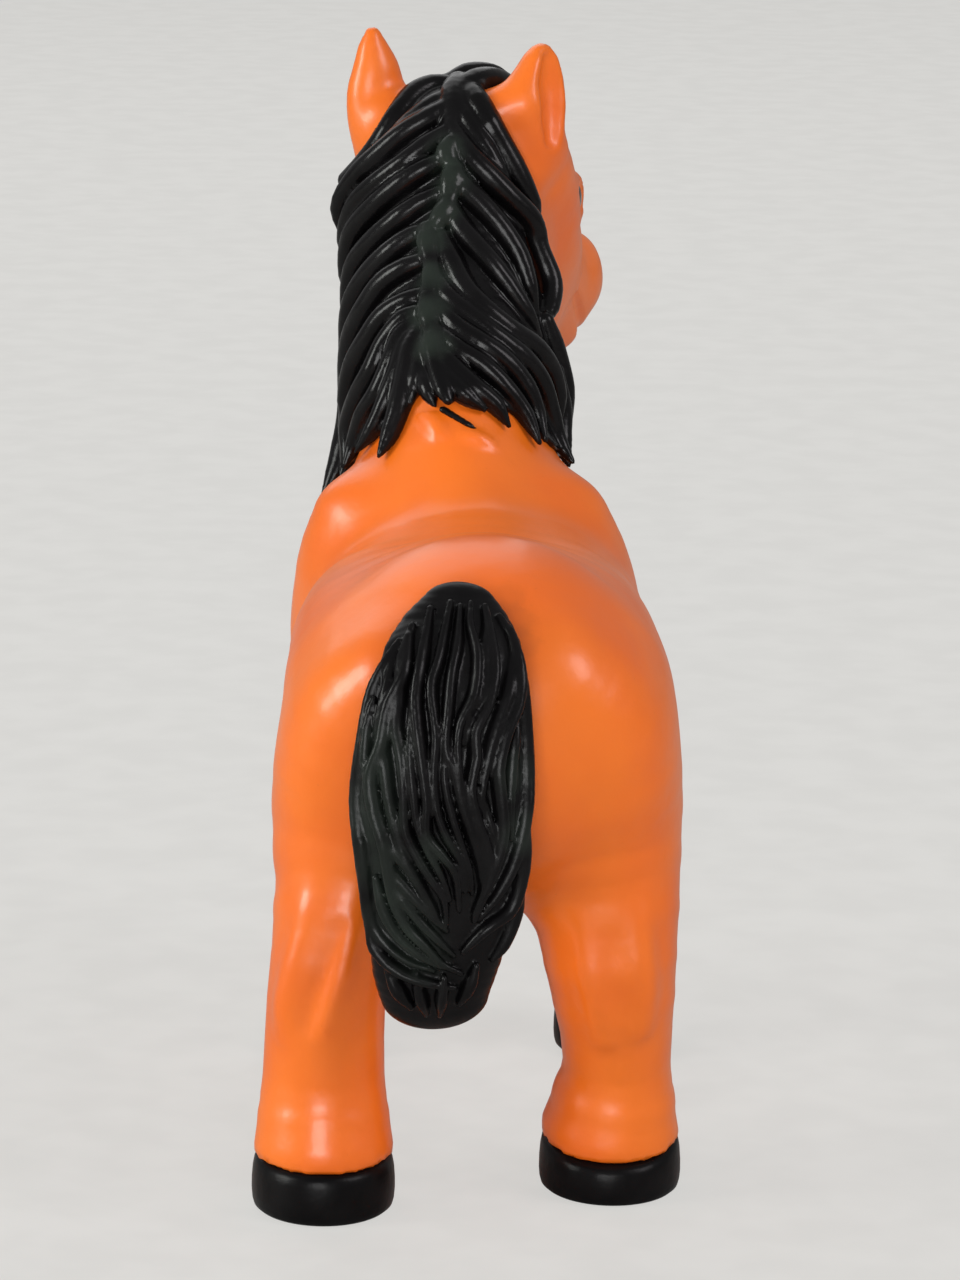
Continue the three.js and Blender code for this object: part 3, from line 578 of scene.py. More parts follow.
# HEAD AND NECK. One hollow vinyl moulding with both ears, plugged into the body. The head turns to
# the horse's right, with soft brows and jaws.
head_length, head_width, head_depth = 0.072, 0.042, 0.042
head_turn, head_pitch = math.radians(-24), math.radians(29)
head_blend, lid_blend, groove_blend = 0.006, 0.0018, 0.0012
# Each row is a middle across, forward and up, a half width and a half depth, as shares of half the
# head's width, its length, half its depth, half its width and half its depth.
skull_rows = [
    (0, 0, 0, 0.88, 0.95),
    (0, 0.30, -0.05, 0.91, 0.90),
    (0, 0.58, -0.10, 0.68, 0.66),
    (0, 0.775, -0.02, 0.605, 0.56),
]
brow_rows = [(0.62, 0.10, 0.34, 0.34, 0.34), (0.60, 0.26, 0.26, 0.30, 0.30)]
jaw_rows = [(0.42, 0.10, -0.62, 0.42, 0.50), (0.24, 0.52, -0.62, 0.34, 0.36)]
ear_root_shares, ear_lean = (0.74, -0.06, 0.30), math.radians(6)
ear_length, ear_blend, cup_blend = 0.0242, 0.0035, 0.002
# An ear's cup: how far out it lies by the leaf's half depth, and its width and depth by the leaf's.
cup_out, cup_breadth, cup_thickness = 0.95, 0.62, 0.66
# Each ear: how far its cup turns from sideways to forward, then rows of the share up the ear, the
# shift outwards, and the half width along and through the leaf, in millimetres. A leaf grows out of
# a slope: places and half widths in millimetres.
ear_tables = {
    1: (40, [(-0.05, 0.0, 6.0, 5.6), (0.22, 0.4, 6.9, 5.6), (0.45, 0.7, 6.4, 4.8), (0.66, 0.3, 5.0, 3.9),
             (0.84, 0.5, 3.2, 2.8), (0.95, 0.4, 1.9, 1.8)]),
    -1: (-16, [(-0.05, 0.6, 6.0, 5.4), (0.20, 1.5, 6.9, 5.8), (0.42, 1.4, 7.2, 5.6), (0.62, 1.2, 6.4, 4.9),
               (0.76, 1.3, 4.8, 3.8), (0.84, 1.3, 3.3, 2.8)]),
}
ear_slopes = {1: [(15.5, -62, 186, 4.6), (11.0, -62, 186.5, 4.4), (6.0, -62, 185.5, 4.2)],
              -1: [(-9.6, -49.0, 191.6, 4.6), (-6.2, -49.0, 190.6, 4.6), (-2.2, -50.0, 188.6, 4.4)]}
temple_rows = [
    (0.86, 0.00, 0.46, 0.22, 0.22),
    (0.77, 0.09, 0.38, 0.22, 0.23),
    (0.70, 0.18, 0.31, 0.22, 0.23),
]
cheek_rows = [(0.28, 0.78, 0.22, 0.26, 0.30), (0.27, 0.88, 0.17, 0.215, 0.25)]
chin_rows = [(0, 0.66, -0.52, 0.34, 0.24), (0, 0.84, -0.46, 0.36, 0.22)]
nostril_rows = [
    (0.43, 0.915, 0.17, 0.06, 0.08),
    (0.46, 0.915, 0.07, 0.08, 0.10),
    (0.43, 0.925, -0.03, 0.06, 0.08),
]
mouth_rows = [
    (0.60, 0.62, -0.28, 0.03, 0.035),
    (0.545, 0.74, -0.33, 0.04, 0.045),
    (0.43, 0.845, -0.36, 0.04, 0.045),
    (0.21, 0.90, -0.37, 0.04, 0.045),
    (0, 0.92, -0.37, 0.04, 0.045),
]


def turned(vector, axis, angle):
    """A vector turned round an axis: its part across the axis by the angle's cosine, the product of
    the two by its sine, and its part along the axis kept."""
    vector, axis = np.asarray(vector, float), np.asarray(axis, float)
    cosine, sine = math.cos(angle), math.sin(angle)
    return vector * cosine + np.cross(axis, vector) * sine + axis * (vector @ axis) * (1 - cosine)


head_across = turned((1, 0, 0), (0, 0, 1), head_turn)
head_forward = turned((0, -math.cos(head_pitch), -math.sin(head_pitch)), (0, 0, 1), head_turn)
head_up = np.cross(head_forward, head_across)


def head_point(across, forward, up):
    """A point of the head by shares of its half width, its length and its half depth."""
    return (poll + head_across * across * head_width / 2 + head_forward * forward * head_length
            + head_up * up * head_depth / 2)


def head_chain(rows, side=1, blend=head_blend):
    """A chain from rows of shares of the head, on a side."""
    return chain(
        [head_point(side * across, forward, up) for across, forward, up, _, _ in rows],
        [row[3] * head_width / 2 for row in rows], [row[4] * head_depth / 2 for row in rows],
        blend, head_across, rods=12,
    )


def ear_chains(side):
    """A leaf of ovals up the ear, the slope of its root, and a smaller leaf that hollows its cup."""
    swivel, rows = ear_tables[side]
    root = head_point(side * ear_root_shares[0], *ear_root_shares[1:])
    rise = np.array([side * math.sin(ear_lean), 0, math.cos(ear_lean)])
    outward = turned((side, 0, 0), (0, 0, 1), head_turn)
    facing = turned(outward, rise, -side * math.radians(swivel))
    facing -= rise * (facing @ rise)
    facing /= np.linalg.norm(facing)
    flat = np.cross(rise, facing)
    middles = [root + rise * along * ear_length + outward * shift / 1000 for along, shift, _, _ in rows]
    wide, deep = (np.array([row[k] for row in rows]) / 1000 for k in (2, 3))
    leaf = chain(middles, wide, deep, ear_blend, flat, rods=5)
    slope = np.array(ear_slopes[side])
    root_slope = marked_chain(slope[:, 3], slope[:, :3], head_blend)
    cup_taper = np.array([0.45, 0.8, 1, 1, 0.9])
    cup_points = [middle + facing * depth * cup_out for middle, depth in zip(middles[1:], deep[1:])]
    cup_wide, cup_deep = wide[1:] * cup_taper * cup_breadth, deep[1:] * cup_taper * cup_thickness
    return leaf, root_slope, chain(cup_points, cup_wide, cup_deep, cup_blend, flat, rods=5)


lid_sink, lid_long, lid_high, lid_lean = 0.0021, 0.0056, 0.0046, 0.0006
# The upper and the lower lid: degrees round the eye, and half widths in millimetres.
lid_tables = [([-5, 35, 80, 125, 165, 190], [0.6, 0.85, 1.0, 1.0, 1.0, 0.9]),
              ([190, 230, 270, 310, 350], [0.9, 0.8, 0.8, 0.7, 0.6])]


def eye_lids(side):
    """Two soft ridges along an oval round the eye, which leans out towards its back corner."""
    out = head_across * side
    middle = np.mean(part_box("eye_left" if side > 0 else "eye_right"), 0) - out * lid_sink
    made = []
    for degrees, radius in lid_tables:
        points = np.array([
            middle + head_forward * math.cos(angle) * lid_long + head_up * math.sin(angle) * lid_high
            - out * (lid_lean / 2 + lid_lean * math.cos(angle)) for angle in np.radians(degrees)])
        size = np.array(radius) / 1000
        made.append(chain(points, size, size, lid_blend, out, rods=4))
    return made


def walk_out(form, starts, ways, lifts, longest, steps):
    """The points where straight walks from inside a form first stand as far off it as their lifts.
    All the steps of all the walks are worked out at once."""
    walk = np.linspace(0, longest, steps + 1)
    spots = starts[:, None] + ways[:, None] * walk[None, :, None]
    off = form_distance(form, spots.reshape(-1, 3)).reshape(len(starts), -1)
    return spots[np.arange(len(starts)), np.argmax(off >= np.asarray(lifts)[:, None], 1)]


mouth_start_back, mouth_start_up = 0.16, -0.1


def mouth_line(side):
    """A groove along the skin of the muzzle, found by walking out towards each row from the middle
    of the head, a little further back and lower."""
    rows = np.array(mouth_rows)
    starts = np.array([head_point(0, forward - mouth_start_back, mouth_start_up) for forward in rows[:, 1]])
    ends = np.array([head_point(side * across, forward, up) for across, forward, up in rows[:, :3]])
    ways = (ends - starts) / np.linalg.norm(ends - starts, axis=1, keepdims=True)
    points = walk_out(skull, starts, ways, np.zeros(len(rows)), 0.03, 300)
    wide, deep = rows[:, 3] * head_width / 2, rows[:, 4] * head_depth / 2
    return chain(points, wide, deep, groove_blend, head_across, rods=6)


bare_skull = [head_chain(skull_rows)]
bare_skull += [head_chain(rows, side) for side in (1, -1) for rows in (brow_rows, jaw_rows)]
skull = [*bare_skull, head_chain(chin_rows)]
skull += [head_chain(rows, side) for side in (1, -1) for rows in (temple_rows, cheek_rows)]
ears = [ear_chains(side) for side in (1, -1)]
upper = [neck, *skull]
neck_and_trunk = [*trunk, *upper]
ear_leaves = [made for leaf, slope, _ in ears for made in (slope, leaf)]
lids = [lid for side in (1, -1) for lid in eye_lids(side)]
hollows = [cup for _, _, cup in ears]
hollows += [head_chain(nostril_rows, side, groove_blend) for side in (1, -1)]
hollows += [mouth_line(side) for side in (1, -1)]


head_cell, head_room, below_seam, spare_neck = 0.0009, 0.003, 0.032, 0.004


def head_distance(points):
    """How far points lie outside the head and neck: its form less its hollows, down to a little
    under the seam, where it is cut flat."""
    form = form_distance([*neck_and_trunk, *ear_leaves, *lids], points)
    below = seam_share * crest_length - (points - neck_root) @ neck_axis - spare_neck
    return np.maximum(carved(form, hollows, points), below)


head_low, head_high = form_box([*upper, *ear_leaves, *lids], head_room)
head_low[2] = seam_middle[2] - below_seam
head_skin = skin(head_distance, head_low, head_high, head_cell)
head = piece("head_and_neck", *head_skin, vinyl("head_vinyl"))
cut_flat(head, seam_middle + neck_axis * glue_line / 2, -neck_axis)
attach(head, "root")
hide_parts("head_neck_shell")


# MANE. One solid moulding, glued over the crest, of thick locks that leave a wandering parting and
# sweep down round the neck to points. Brushed with gloss black.

# Each lock: its half width in millimetres, then its path by hundredths of the way up the crest from
# the withers, by degrees round the neck from its back, and by a further lift in millimetres.
left_locks = [
    (3.2, (111, -20), (107, -10), (104, 2), (100, 20), (97, 41, 0.8), (92, 62, 2.9), (84, 76, 1.7)),
    (3.2, (102, -17), (99, -8), (95, 5), (92, 25), (90, 47, 0.8), (84, 68, 2.2), (75, 84, 1.0)),
    (3.4, (94, -14), (92, -4), (89, 11), (86, 32), (83, 57, 1.2), (76, 78, 2.2), (66, 92, 0.6)),
    (3.4, (85, -10), (83, 0), (80, 14), (77, 38), (74, 62, 1.0), (66, 82, 1.6), (56, 96, 0.6)),
    (3.5, (75, -4), (74, 6), (71, 21), (68, 43), (64, 66, 0.8), (57, 86, 1.4), (46, 101, 0.6)),
    (3.5, (66, 0), (65, 10), (63, 25), (59, 43), (55, 67, 0.6), (48, 85, 1.2), (37, 101, 0.6)),
    (3.4, (56, 1), (55, 11), (53, 25), (49, 40), (45, 60, 0.4), (39, 80, 1.0), (29, 97, 0.6)),
    (3.2, (51, 2), (50, 13), (45, 26), (39, 36), (35, 54), (30, 74, 0.6), (23, 80), (17, 83)),
    (3.0, (49, 6), (45, 16), (39, 22), (32, 32), (28, 47), (23, 62), (17, 68)),
    (2.9, (47, 7), (42, 14), (35, 19), (28, 27), (22, 37), (17, 48)),
    (3.2, (46, 6), (40, 11), (33, 15), (25, 20), (18, 26), (12, 31)),
    (2.6, (45, 5), (38, 7), (31, 11), (25, 14)),
    (3.4, (62, 78, 1.0), (52, 92, 1.2), (41, 101, 1.4), (31, 104, 2.7), (24, 106, 3.7), (19, 107, 4.4)),
    (2.8, (42, 84, 0.8), (34, 90, 0.8), (26, 94, 0.4), (19, 95)),
]
right_locks = [
    (3.0, (114, -23), (106, -29), (99, -37), (93, -45), (90, -53)),
    (3.6, (104, -21), (97, -27), (91, -37), (86, -50), (82, -65, 0.4), (77, -75, 0.2), (71, -80, 0.2)),
    (3.4, (93, -19), (87, -24), (82, -33), (76, -43), (70, -51), (63, -57), (57, -63)),
    (3.2, (83, -15), (76, -19), (71, -25), (65, -33), (59, -42), (54, -51), (50, -63)),
    (3.5, (72, -10), (64, -13), (57, -17), (51, -24), (47, -35), (45, -53), (42, -70, 0.4),
     (37, -80, 0.8), (30, -84, 0.4)),
    (3.2, (61, -5), (54, -9), (49, -17), (44, -27), (40, -41), (36, -54), (30, -65), (24, -72),
     (18, -73)),
    (3.2, (53, -3), (46, -10), (41, -19), (37, -30), (32, -40), (26, -47), (19, -48)),
    (3.0, (45, -2), (39, -9), (35, -18), (30, -27), (24, -37), (17, -42)),
    (3.0, (40, -1), (34, -6), (28, -13), (24, -21), (19, -26)),
    (2.9, (39, 2), (32, -2), (26, -8), (22, -16)),
    (3.0, (44, 4), (38, 3), (31, 0), (24, -3)),
    (2.6, (35, 8), (28, 6), (23, 4)),
    (3.0, (79, -68), (75, -76), (68, -83, 1.0), (61, -80, 0.4), (55, -70)),
    (3.2, (56, -72), (50, -83, 0.3), (42, -95, 1.4), (35, -99, 1.2), (28, -99, 0.6)),
    (2.8, (44, -80, 0.8), (35, -90, 1.0), (28, -92, 0.4), (21, -92)),
]
# How wide a lock is, as a share of its widest, at shares of its run.
lock_swell = [(0, 0.7), (0.12, 0.95), (0.35, 1.0), (0.72, 0.9), (0.9, 0.6), (1, 0.2)]
lock_slimness, lock_depth_share, lock_lift, coat_thickness = 0.78, 1.2, 0.0012, 0.0011
# The locks of the crown between the ears, and its curl: half widths, then points, all in millimetres.
crown_locks = [
    ((2.0, 2.4, 2.6, 2.6, 2.4, 2.3, 2.0),
     [(3.8, -58, 194), (8.3, -58, 193.8), (12.1, -55.5, 192.2), (15.2, -52, 188.6), (18.2, -51, 184),
      (21.6, -54.1, 178.8), (25.6, -61, 173.6)]),
    ((2.0, 2.4, 2.6, 2.7, 2.6, 2.0),
     [(4.8, -49.5, 192.5), (8.1, -48.6, 190.9), (12.2, -46.8, 187.8), (16.2, -46, 183.4),
      (20.2, -48, 178.6), (24.2, -56, 172.6)]),
    ((3.0, 3.3, 3.2, 2.8),
     [(4.4, -44.2, 187.6), (4.0, -46.4, 190.6), (3.8, -50, 193.2), (3.0, -54, 194.6)]),
    ((2.6, 2.8, 2.8, 2.6, 2.6, 2.4, 1.9, 0.7),
     [(1.4, -52, 194.0), (-0.8, -46, 191.8), (-3.0, -43.4, 188.2), (-5.6, -43, 183.9),
      (-8.1, -42.8, 179.5), (-10.2, -42.8, 175.6), (-12.1, -43.2, 172), (-13.4, -43.6, 169.4)]),
    ((3.0, 3.4, 3.2, 3.0, 2.6, 1.8),
     [(3, -50, 192.8), (-0.6, -53, 194.7), (-3.8, -56, 194.9), (-6.8, -60, 193.2), (-8.6, -65, 189.6),
      (-8.4, -70, 185.6)]),
]
# The knobs down the parting, written the same way.
parting_knobs = [
    ((1.5, 2.0, 1.4), [(4.7, -38.7, 184.9), (5.5, -37.7, 182.9), (4.5, -36.2, 180.7)]),
    ((1.7, 2.2, 1.5), [(4.1, -35.8, 180.0), (4.5, -34.5, 177.7), (5.1, -32.6, 174.7)]),
    ((1.4, 1.9, 1.3), [(5.1, -32.2, 174.0), (6.5, -30.4, 171.4), (8.4, -29.1, 168.7)]),
    ((1.5, 2.0, 1.4), [(9.6, -29.3, 168.7), (9.4, -27.0, 166.2), (8.8, -23.5, 162.7)]),
    ((1.4, 1.9, 1.3), [(8.6, -23.5, 162.7), (8.6, -21.0, 159.8), (9.2, -17.8, 156.7)]),
    ((1.6, 2.1, 1.5), [(9.4, -17.8, 156.3), (9.2, -15.3, 153.5), (8.6, -12.4, 150.8)]),
    ((1.1, 1.8, 1.8, 1.6, 0.9),
     [(9.0, -13.9, 152.2), (8.5, -9.5, 148.3), (7.7, -6.0, 144.3), (6.3, -2.1, 140.6), (5.5, -0.5, 138.9)]),
]
# The knobs' breadth, and the reach in millimetres of the painted sheen and the rubbed paint round each.
knob_breadth, knob_wear_and_sheen_reach = 1.2, 5.5
mane_blend, mane_cell, lock_room = 0.0005, 0.00058, 0.002
# How far the coat goes to the left and to the right at shares up the crest, in degrees, and how low
# it goes at angles round the neck.
coat_left = [(0.2, 98), (0.5, 92), (0.7, 86), (0.85, 78), (0.96, 60), (1.02, 46), (1.12, 32), (1.32, 26)]
coat_right = [(0.2, 90), (0.5, 80), (0.66, 74), (0.76, 64), (0.86, 52), (0.95, 46), (1.01, 42),
              (1.09, 38), (1.2, 34)]
coat_low = [(-100, 0.24), (-60, 0.20), (-40, 0.22), (-22, 0.25), (-10, 0.28), (0, 0.28), (10, 0.28),
            (20, 0.21), (40, 0.20), (60, 0.21), (100, 0.20)]
coat_top = 1.28


def neck_frame(along):
    """The neck's middle, back and left at a share up it. The last two turn with the head."""
    turn_here = head_turn * min(max(along, 0), 1)
    back, left = turned(neck_back, neck_axis, turn_here), turned((1, 0, 0), neck_axis, turn_here)
    return neck_root + neck_axis * along * crest_length, back, left


hair_ground = [*trunk, neck, *bare_skull]


def on_crest(path, lift):
    """Points lifted off the skin of the neck, and the ways out to them from the neck's middle."""
    starts, ways, lifts = [], [], []
    for along, degrees, *more in path:
        lifts.append(lift + sum(more) / 1000)
        middle, back, left = neck_frame(along / 100)
        angle = math.radians(degrees)
        starts.append(middle)
        ways.append(left * math.sin(angle) + back * math.cos(angle))
    starts, ways = np.array(starts), np.array(ways)
    return walk_out(hair_ground, starts, ways, lifts, 0.05, 250), ways


def lock_rod(points, ways, widest, swell, height, blend):
    """A lock as one rod along points: as wide as its swell says at each share of its run, height
    times as high as it is wide, and flat across the ways out of the skin."""
    run = np.concatenate([[0], np.cumsum(np.linalg.norm(np.diff(points, axis=0), axis=1))])
    wide = widest * np.interp(run / run[-1], *zip(*swell))
    flat = np.cross(np.gradient(points, axis=0), ways)
    flat /= np.maximum(np.linalg.norm(flat, axis=1, keepdims=True), 1e-9)
    return chain(points, wide, wide * height, blend, flat, rods=4)


mane_locks = []
for half_width, *lock_path in (*left_locks, *right_locks):
    widest = half_width * 0.001 * lock_slimness
    mane_locks.append(lock_rod(
        *on_crest(lock_path, lock_lift), widest, lock_swell, lock_depth_share, mane_blend))
mane_locks += [marked_chain(*lock, mane_blend) for lock in crown_locks]
mane_locks += [marked_chain(*knob, mane_blend, breadth=knob_breadth) for knob in parting_knobs]
# A loose strand under the middle of the mane.
mane_locks.append(marked_chain(
    [0.8, 0.7, 0.6, 0.2], [(6.5, -2.4, 136.7), (4.1, -1.1, 135.5), (1.5, 0.2, 134.2), (-0.6, 0.8, 132.9)],
    mane_blend, [0.6, 0.5, 0.5, 0.2]))


def coat_distance(points):
    """The thin coat that the locks lie on: what is near the skin, above its low edge, below its top,
    and between its left and right limits."""
    away = points - neck_root
    along = away @ neck_axis / crest_length
    share = np.clip(along, 0, 1)
    angle = np.degrees(np.arctan2(away @ np.array([1.0, 0, 0]), away @ neck_back) + head_turn * share)
    left_of = angle - np.interp(along, *zip(*coat_left))
    right_of = -angle - np.interp(along, *zip(*coat_right))
    beside = np.radians(np.maximum(left_of, right_of)) * neck_width / 2
    below = (np.interp(angle, *zip(*coat_low)) - along) * crest_length
    above = (along - coat_top) * crest_length
    on_skin = form_distance(hair_ground, points) - coat_thickness
    return np.maximum.reduce([on_skin, beside, below, above])


def mane_distance(points):
    """How far points lie outside the locks and their coat."""
    return form_distance(mane_locks, points, coat_distance(points))


def gloss_black(name, least_gloss=0.18, shine=0.2, wear_and_sheen_spots=(), wear_and_sheen_share=0.4):
    """Brushed gloss black paint: a little uneven. Round the given spots it is rubbed thin and painted with
    a dull grey green sheen, the reflection of the greenish left light. least_gloss is its least roughness,
    and shine is how much it mirrors."""
    finish = Finish(name)
    tone = finish.within(finish.noise(90.0, 3.0), 0.4, 0.7)
    colour = finish.mix(tone, paint("#080708"), paint("#100f10"))
    wear_and_sheen_edge = 0.6 + finish.noise(240.0, 3.0) * 0.8
    # Painted sheen: a grey green reflection of the greenish left light round each spot, where the paint is
    # also rubbed thin.
    for spot in wear_and_sheen_spots:
        colour = finish.mix(finish.near(spot, wear_and_sheen_edge) * wear_and_sheen_share, colour, paint("#39433b"))
    gloss = least_gloss + finish.noise(120.0, 3.0) * 0.12
    height = finish.noise(600.0, 3.0) * 0.3 + finish.noise(160.0, 2.0)
    return finish.close(
        Base_Color=colour, Roughness=gloss, Normal=finish.bump(height, 0.00018),
        Specular_IOR_Level=shine)


# A painted grey green sheen, with rubbed paint, round the middle of each parting knob.
mane_wear_and_sheen = [(*points[1], knob_wear_and_sheen_reach) for _, points in parting_knobs]
mane_skin = skin(mane_distance, *form_box(mane_locks, lock_room), mane_cell)
mane = piece("mane_locks", *mane_skin, gloss_black("mane_paint", wear_and_sheen_spots=mane_wear_and_sheen))
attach(mane, "root")
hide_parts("mane")


# FORELOCK. A curl of the same black, cast with a flat back, that falls over the forehead from
# between the ears.

# Each lock: its half width in millimetres, then its path by shares of the head: across to its left,
# forward, and how far over the skin in millimetres.
forelock_locks = [
    (2.2, (0.10, -0.13, 1.0), (-0.06, -0.10, 3.4), (-0.24, -0.04, 4.2), (-0.38, 0.05, 2.4),
     (-0.40, 0.16, 1.2), (-0.30, 0.26, 0.8)),
    (2.4, (0.16, -0.12, 1.0), (0.10, -0.02, 2.2), (0.00, 0.10, 2.0), (-0.12, 0.22, 1.4),
     (-0.10, 0.34, 0.8)),
    (2.2, (0.22, -0.10, 0.8), (0.22, 0.02, 1.6), (0.16, 0.14, 1.6), (0.06, 0.26, 1.2), (0.04, 0.38, 0.6)),
    (1.8, (0.30, -0.08, 0.6), (0.32, 0.04, 1.0), (0.26, 0.16, 1.0), (0.16, 0.28, 0.6)),
]
forelock_swell = [(0, 0.8), (0.3, 1), (0.75, 0.85), (1, 0.25)]
forelock_cell, forelock_depth_share = 0.0006, 0.8


def forelock_chain(row):
    """A tapering rod over the head's skin, found by walking up from the head's middle."""
    half_width, *path = row
    starts = np.array([head_point(across, forward, 0) for across, forward, _ in path])
    lifts = np.array([rise for _, _, rise in path]) / 1000
    ways = np.broadcast_to(head_up, starts.shape)
    points = walk_out(hair_ground, starts, ways, lifts, 0.04, 200)
    wide = half_width * 0.001 * np.interp(np.linspace(0, 1, len(path)), *zip(*forelock_swell))
    return chain(points, wide, wide * forelock_depth_share, mane_blend, head_across, rods=5)


forelock_chains = [forelock_chain(row) for row in forelock_locks]


def forelock_distance(points):
    """How far points lie outside the forelock's rods."""
    return form_distance(forelock_chains, points)


forelock_skin = skin(forelock_distance, *form_box(forelock_chains, lock_room), forelock_cell)
forelock = piece("forelock_curl", *forelock_skin, gloss_black("forelock_paint"))
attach(forelock, "root")
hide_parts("forelock")


# TAIL. One solid moulding with a peg in the rump: long ridged locks that sway down, cross low on
# the back of the tail, and end in a short blunt tuft. Brushed gloss black.
tail_length, tail_width, tail_depth, tail_lock_rise = 0.071, 0.034, 0.017, 0.003
tail_root = body_point(0, 0.90, 0.925)
# Each row of its core is a middle down, to the left and back, a half width and a half depth, as
# shares of its length, half its width, its depth, half its width and half its depth less the locks.
tail_rows = [
    (-0.03, 0.19, -0.06, 0.40, 0.36),
    (0.03, 0.21, 0.14, 0.62, 0.48),
    (0.10, 0.26, 0.38, 0.75, 0.60),
    (0.18, 0.324, 0.55, 0.77, 0.68),
    (0.354, 0.37, 0.68, 0.84, 0.78),
    (0.516, 0.366, 0.70, 0.885, 0.82),
    (0.687, 0.361, 0.63, 0.80, 0.84),
    (0.812, 0.39, 0.54, 0.73, 0.78),
    (0.896, 0.421, 0.48, 0.66, 0.72),
    (0.965, 0.41, 0.43, 0.58, 0.56),
]
# Each lock: its half width in millimetres, then its path in hundredths of the tail's length down it
# and of its half width to the left.
tail_locks = [
    (1.4, (1, 82), (7, 97), (16, 110), (29, 120), (43, 126), (54, 122), (68, 114), (76, 107), (81, 91),
     (85, 69), (87, 44)),
    (1.4, (2, 73), (10, 77), (18, 93), (28, 101), (36, 112), (44, 108), (53, 97), (60, 92), (68, 85),
     (75, 71), (80, 53), (85, 35), (88, 14)),
    (1.3, (-2, 69), (8, 80), (15, 82), (23, 86), (30, 80), (39, 76), (49, 74), (56, 61), (62, 46),
     (67, 34), (74, 31)),
    (1.3, (35, 117), (43, 111), (49, 100), (55, 84), (60, 68), (69, 47), (74, 38)),
    (1.3, (-4, 50), (8, 60), (16, 65), (28, 60), (41, 53), (50, 52), (55, 37), (60, 23), (70, 18)),
    (1.3, (-5, 29), (0, 34), (7, 41), (13, 49), (25, 44), (35, 46), (45, 41), (51, 31), (57, 18),
     (65, 12)),
    (1.4, (-4, 19), (5, 23), (10, 28), (19, 32), (28, 34), (33, 27), (42, 18), (49, 8), (56, -1),
     (63, -6)),
    (1.1, (-5, 8), (-1, 9), (6, 2), (15, 6), (22, 20), (30, 22), (41, 13), (44, 8)),
    (1.3, (-4, -7), (2, -12), (9, -16), (17, -10), (24, 4), (30, 3), (38, 8), (46, 1), (55, -11),
     (63, -10), (71, 2)),
    (1.3, (-3, -22), (4, -36), (14, -32), (20, -23), (28, -12), (38, -4), (45, -3)),
    (1.3, (-1, -33), (9, -43), (18, -41), (24, -30), (33, -21), (41, -24), (50, -27), (58, -20),
     (66, -8), (73, 2)),
    (1.3, (4, -40), (14, -46), (27, -51), (37, -53), (45, -52), (53, -46), (61, -35), (68, -18),
     (73, -3)),
    (1.1, (22, -41), (28, -38), (36, -35), (44, -34), (52, -37)),
    (1.3, (50, -53), (56, -51), (63, -48), (71, -37), (75, -14), (79, 3), (82, 13)),
    (1.4, (63, -48), (73, -42), (81, -30), (85, -19)),
    (1.3, (57, 96), (62, 81), (67, 63), (72, 45), (76, 30)),
    (1.3, (76, 113), (82, 105), (87, 84), (90, 58), (92, 20)),
    (1.1, (53, 121), (63, 117), (73, 114), (80, 110)),
    (1.3, (4, 86), (15, 95), (24, 102), (33, 97), (41, 92), (50, 83), (58, 70), (65, 55), (71, 42)),
    (1.1, (16, 71), (30, 70), (40, 66), (47, 62), (54, 51), (60, 38), (67, 27)),
    (1.1, (21, 34), (36, 35), (45, 27), (52, 18), (59, 9), (66, 4)),
    (1.1, (41, -7), (49, -14), (54, -20), (62, -14), (69, -2)),
    (1.3, (62, 106), (70, 97), (76, 84), (82, 61), (86, 36)),
    (1.2, (61, 95), (67, 77), (73, 59), (78, 41), (83, 22)),
    (1.1, (-2, -10), (5, -6), (14, -4), (20, 11), (27, 16)),
    (1.1, (17, 109), (25, 116), (32, 118), (39, 116)),
    (1.6, (87, 92), (93, 80), (98, 66)),
    (1.6, (88, 62), (95, 56), (100, 50)),
    (1.5, (89, 32), (95, 34), (100, 36)),
    (1.4, (86, -2), (92, 6), (97, 16)),
]
# Plainer locks down the front of the tail, which faces the thighs.
tail_front_locks = [
    (1.9, (10, 70), (30, 95), (50, 100), (68, 90), (82, 80), (93, 60)),
    (1.9, (12, 42), (32, 60), (52, 64), (70, 58), (84, 52), (94, 44)),
    (1.9, (12, 14), (32, 24), (52, 28), (70, 26), (84, 28), (94, 30)),
    (1.9, (12, -12), (32, -10), (52, -10), (70, -6), (84, 4), (94, 14)),
    (1.8, (20, -30), (36, -38), (54, -38), (70, -30), (84, -14), (94, 2)),
]
tail_lock_lifts, tail_front_lift = (0.0004, 0.0010, 0.0007), 0.0009
tail_lock_slimness, tail_lock_height = 0.77, 1.45
core_blend, dock_blend, tail_lock_blend, tail_cell = 0.0016, 0.002, 0.0004, 0.00055
# The locks start under a round top: how high it is, how much it falls away, and where its middle is.
top_height, top_fall, top_middle = 0.06, 0.25, 0.2
# The walks on to the core: how far behind or ahead of its middle they start, and how long they are,
# by the tail's depth, and their steps.
core_back, walk_start, walk_length, walk_steps = 0.6, 1.0, 2.2, 300
tail_swell = [(0, 0.5), (0.15, 0.95), (0.5, 1.0), (0.85, 0.85), (1, 0.45)]


def tail_point(down, left, back):
    """A point of the tail by shares of its length, its half width and its depth, from its root."""
    return tail_root + np.array([left * tail_width / 2, back * tail_depth, -down * tail_length])


core_middles = np.array([tail_point(*row[:3]) for row in tail_rows])
tail_core = chain(
    core_middles, [row[3] * tail_width / 2 for row in tail_rows],
    [row[4] * (tail_depth - tail_lock_rise) / 2 for row in tail_rows], core_blend)
# The dock, by which the tail grows out of the rump: shares of the tail, then half sizes in metres.
dock_rows = [(0.16, 0.24, 0.30), (0.10, 0.20, -0.05), (0.13, 0.20, -0.45)]
dock_middles = [tail_point(*row) for row in dock_rows]
tail_dock = chain(dock_middles, [0.0065, 0.0055, 0.0050], [0.0060, 0.0050, 0.0045], dock_blend)


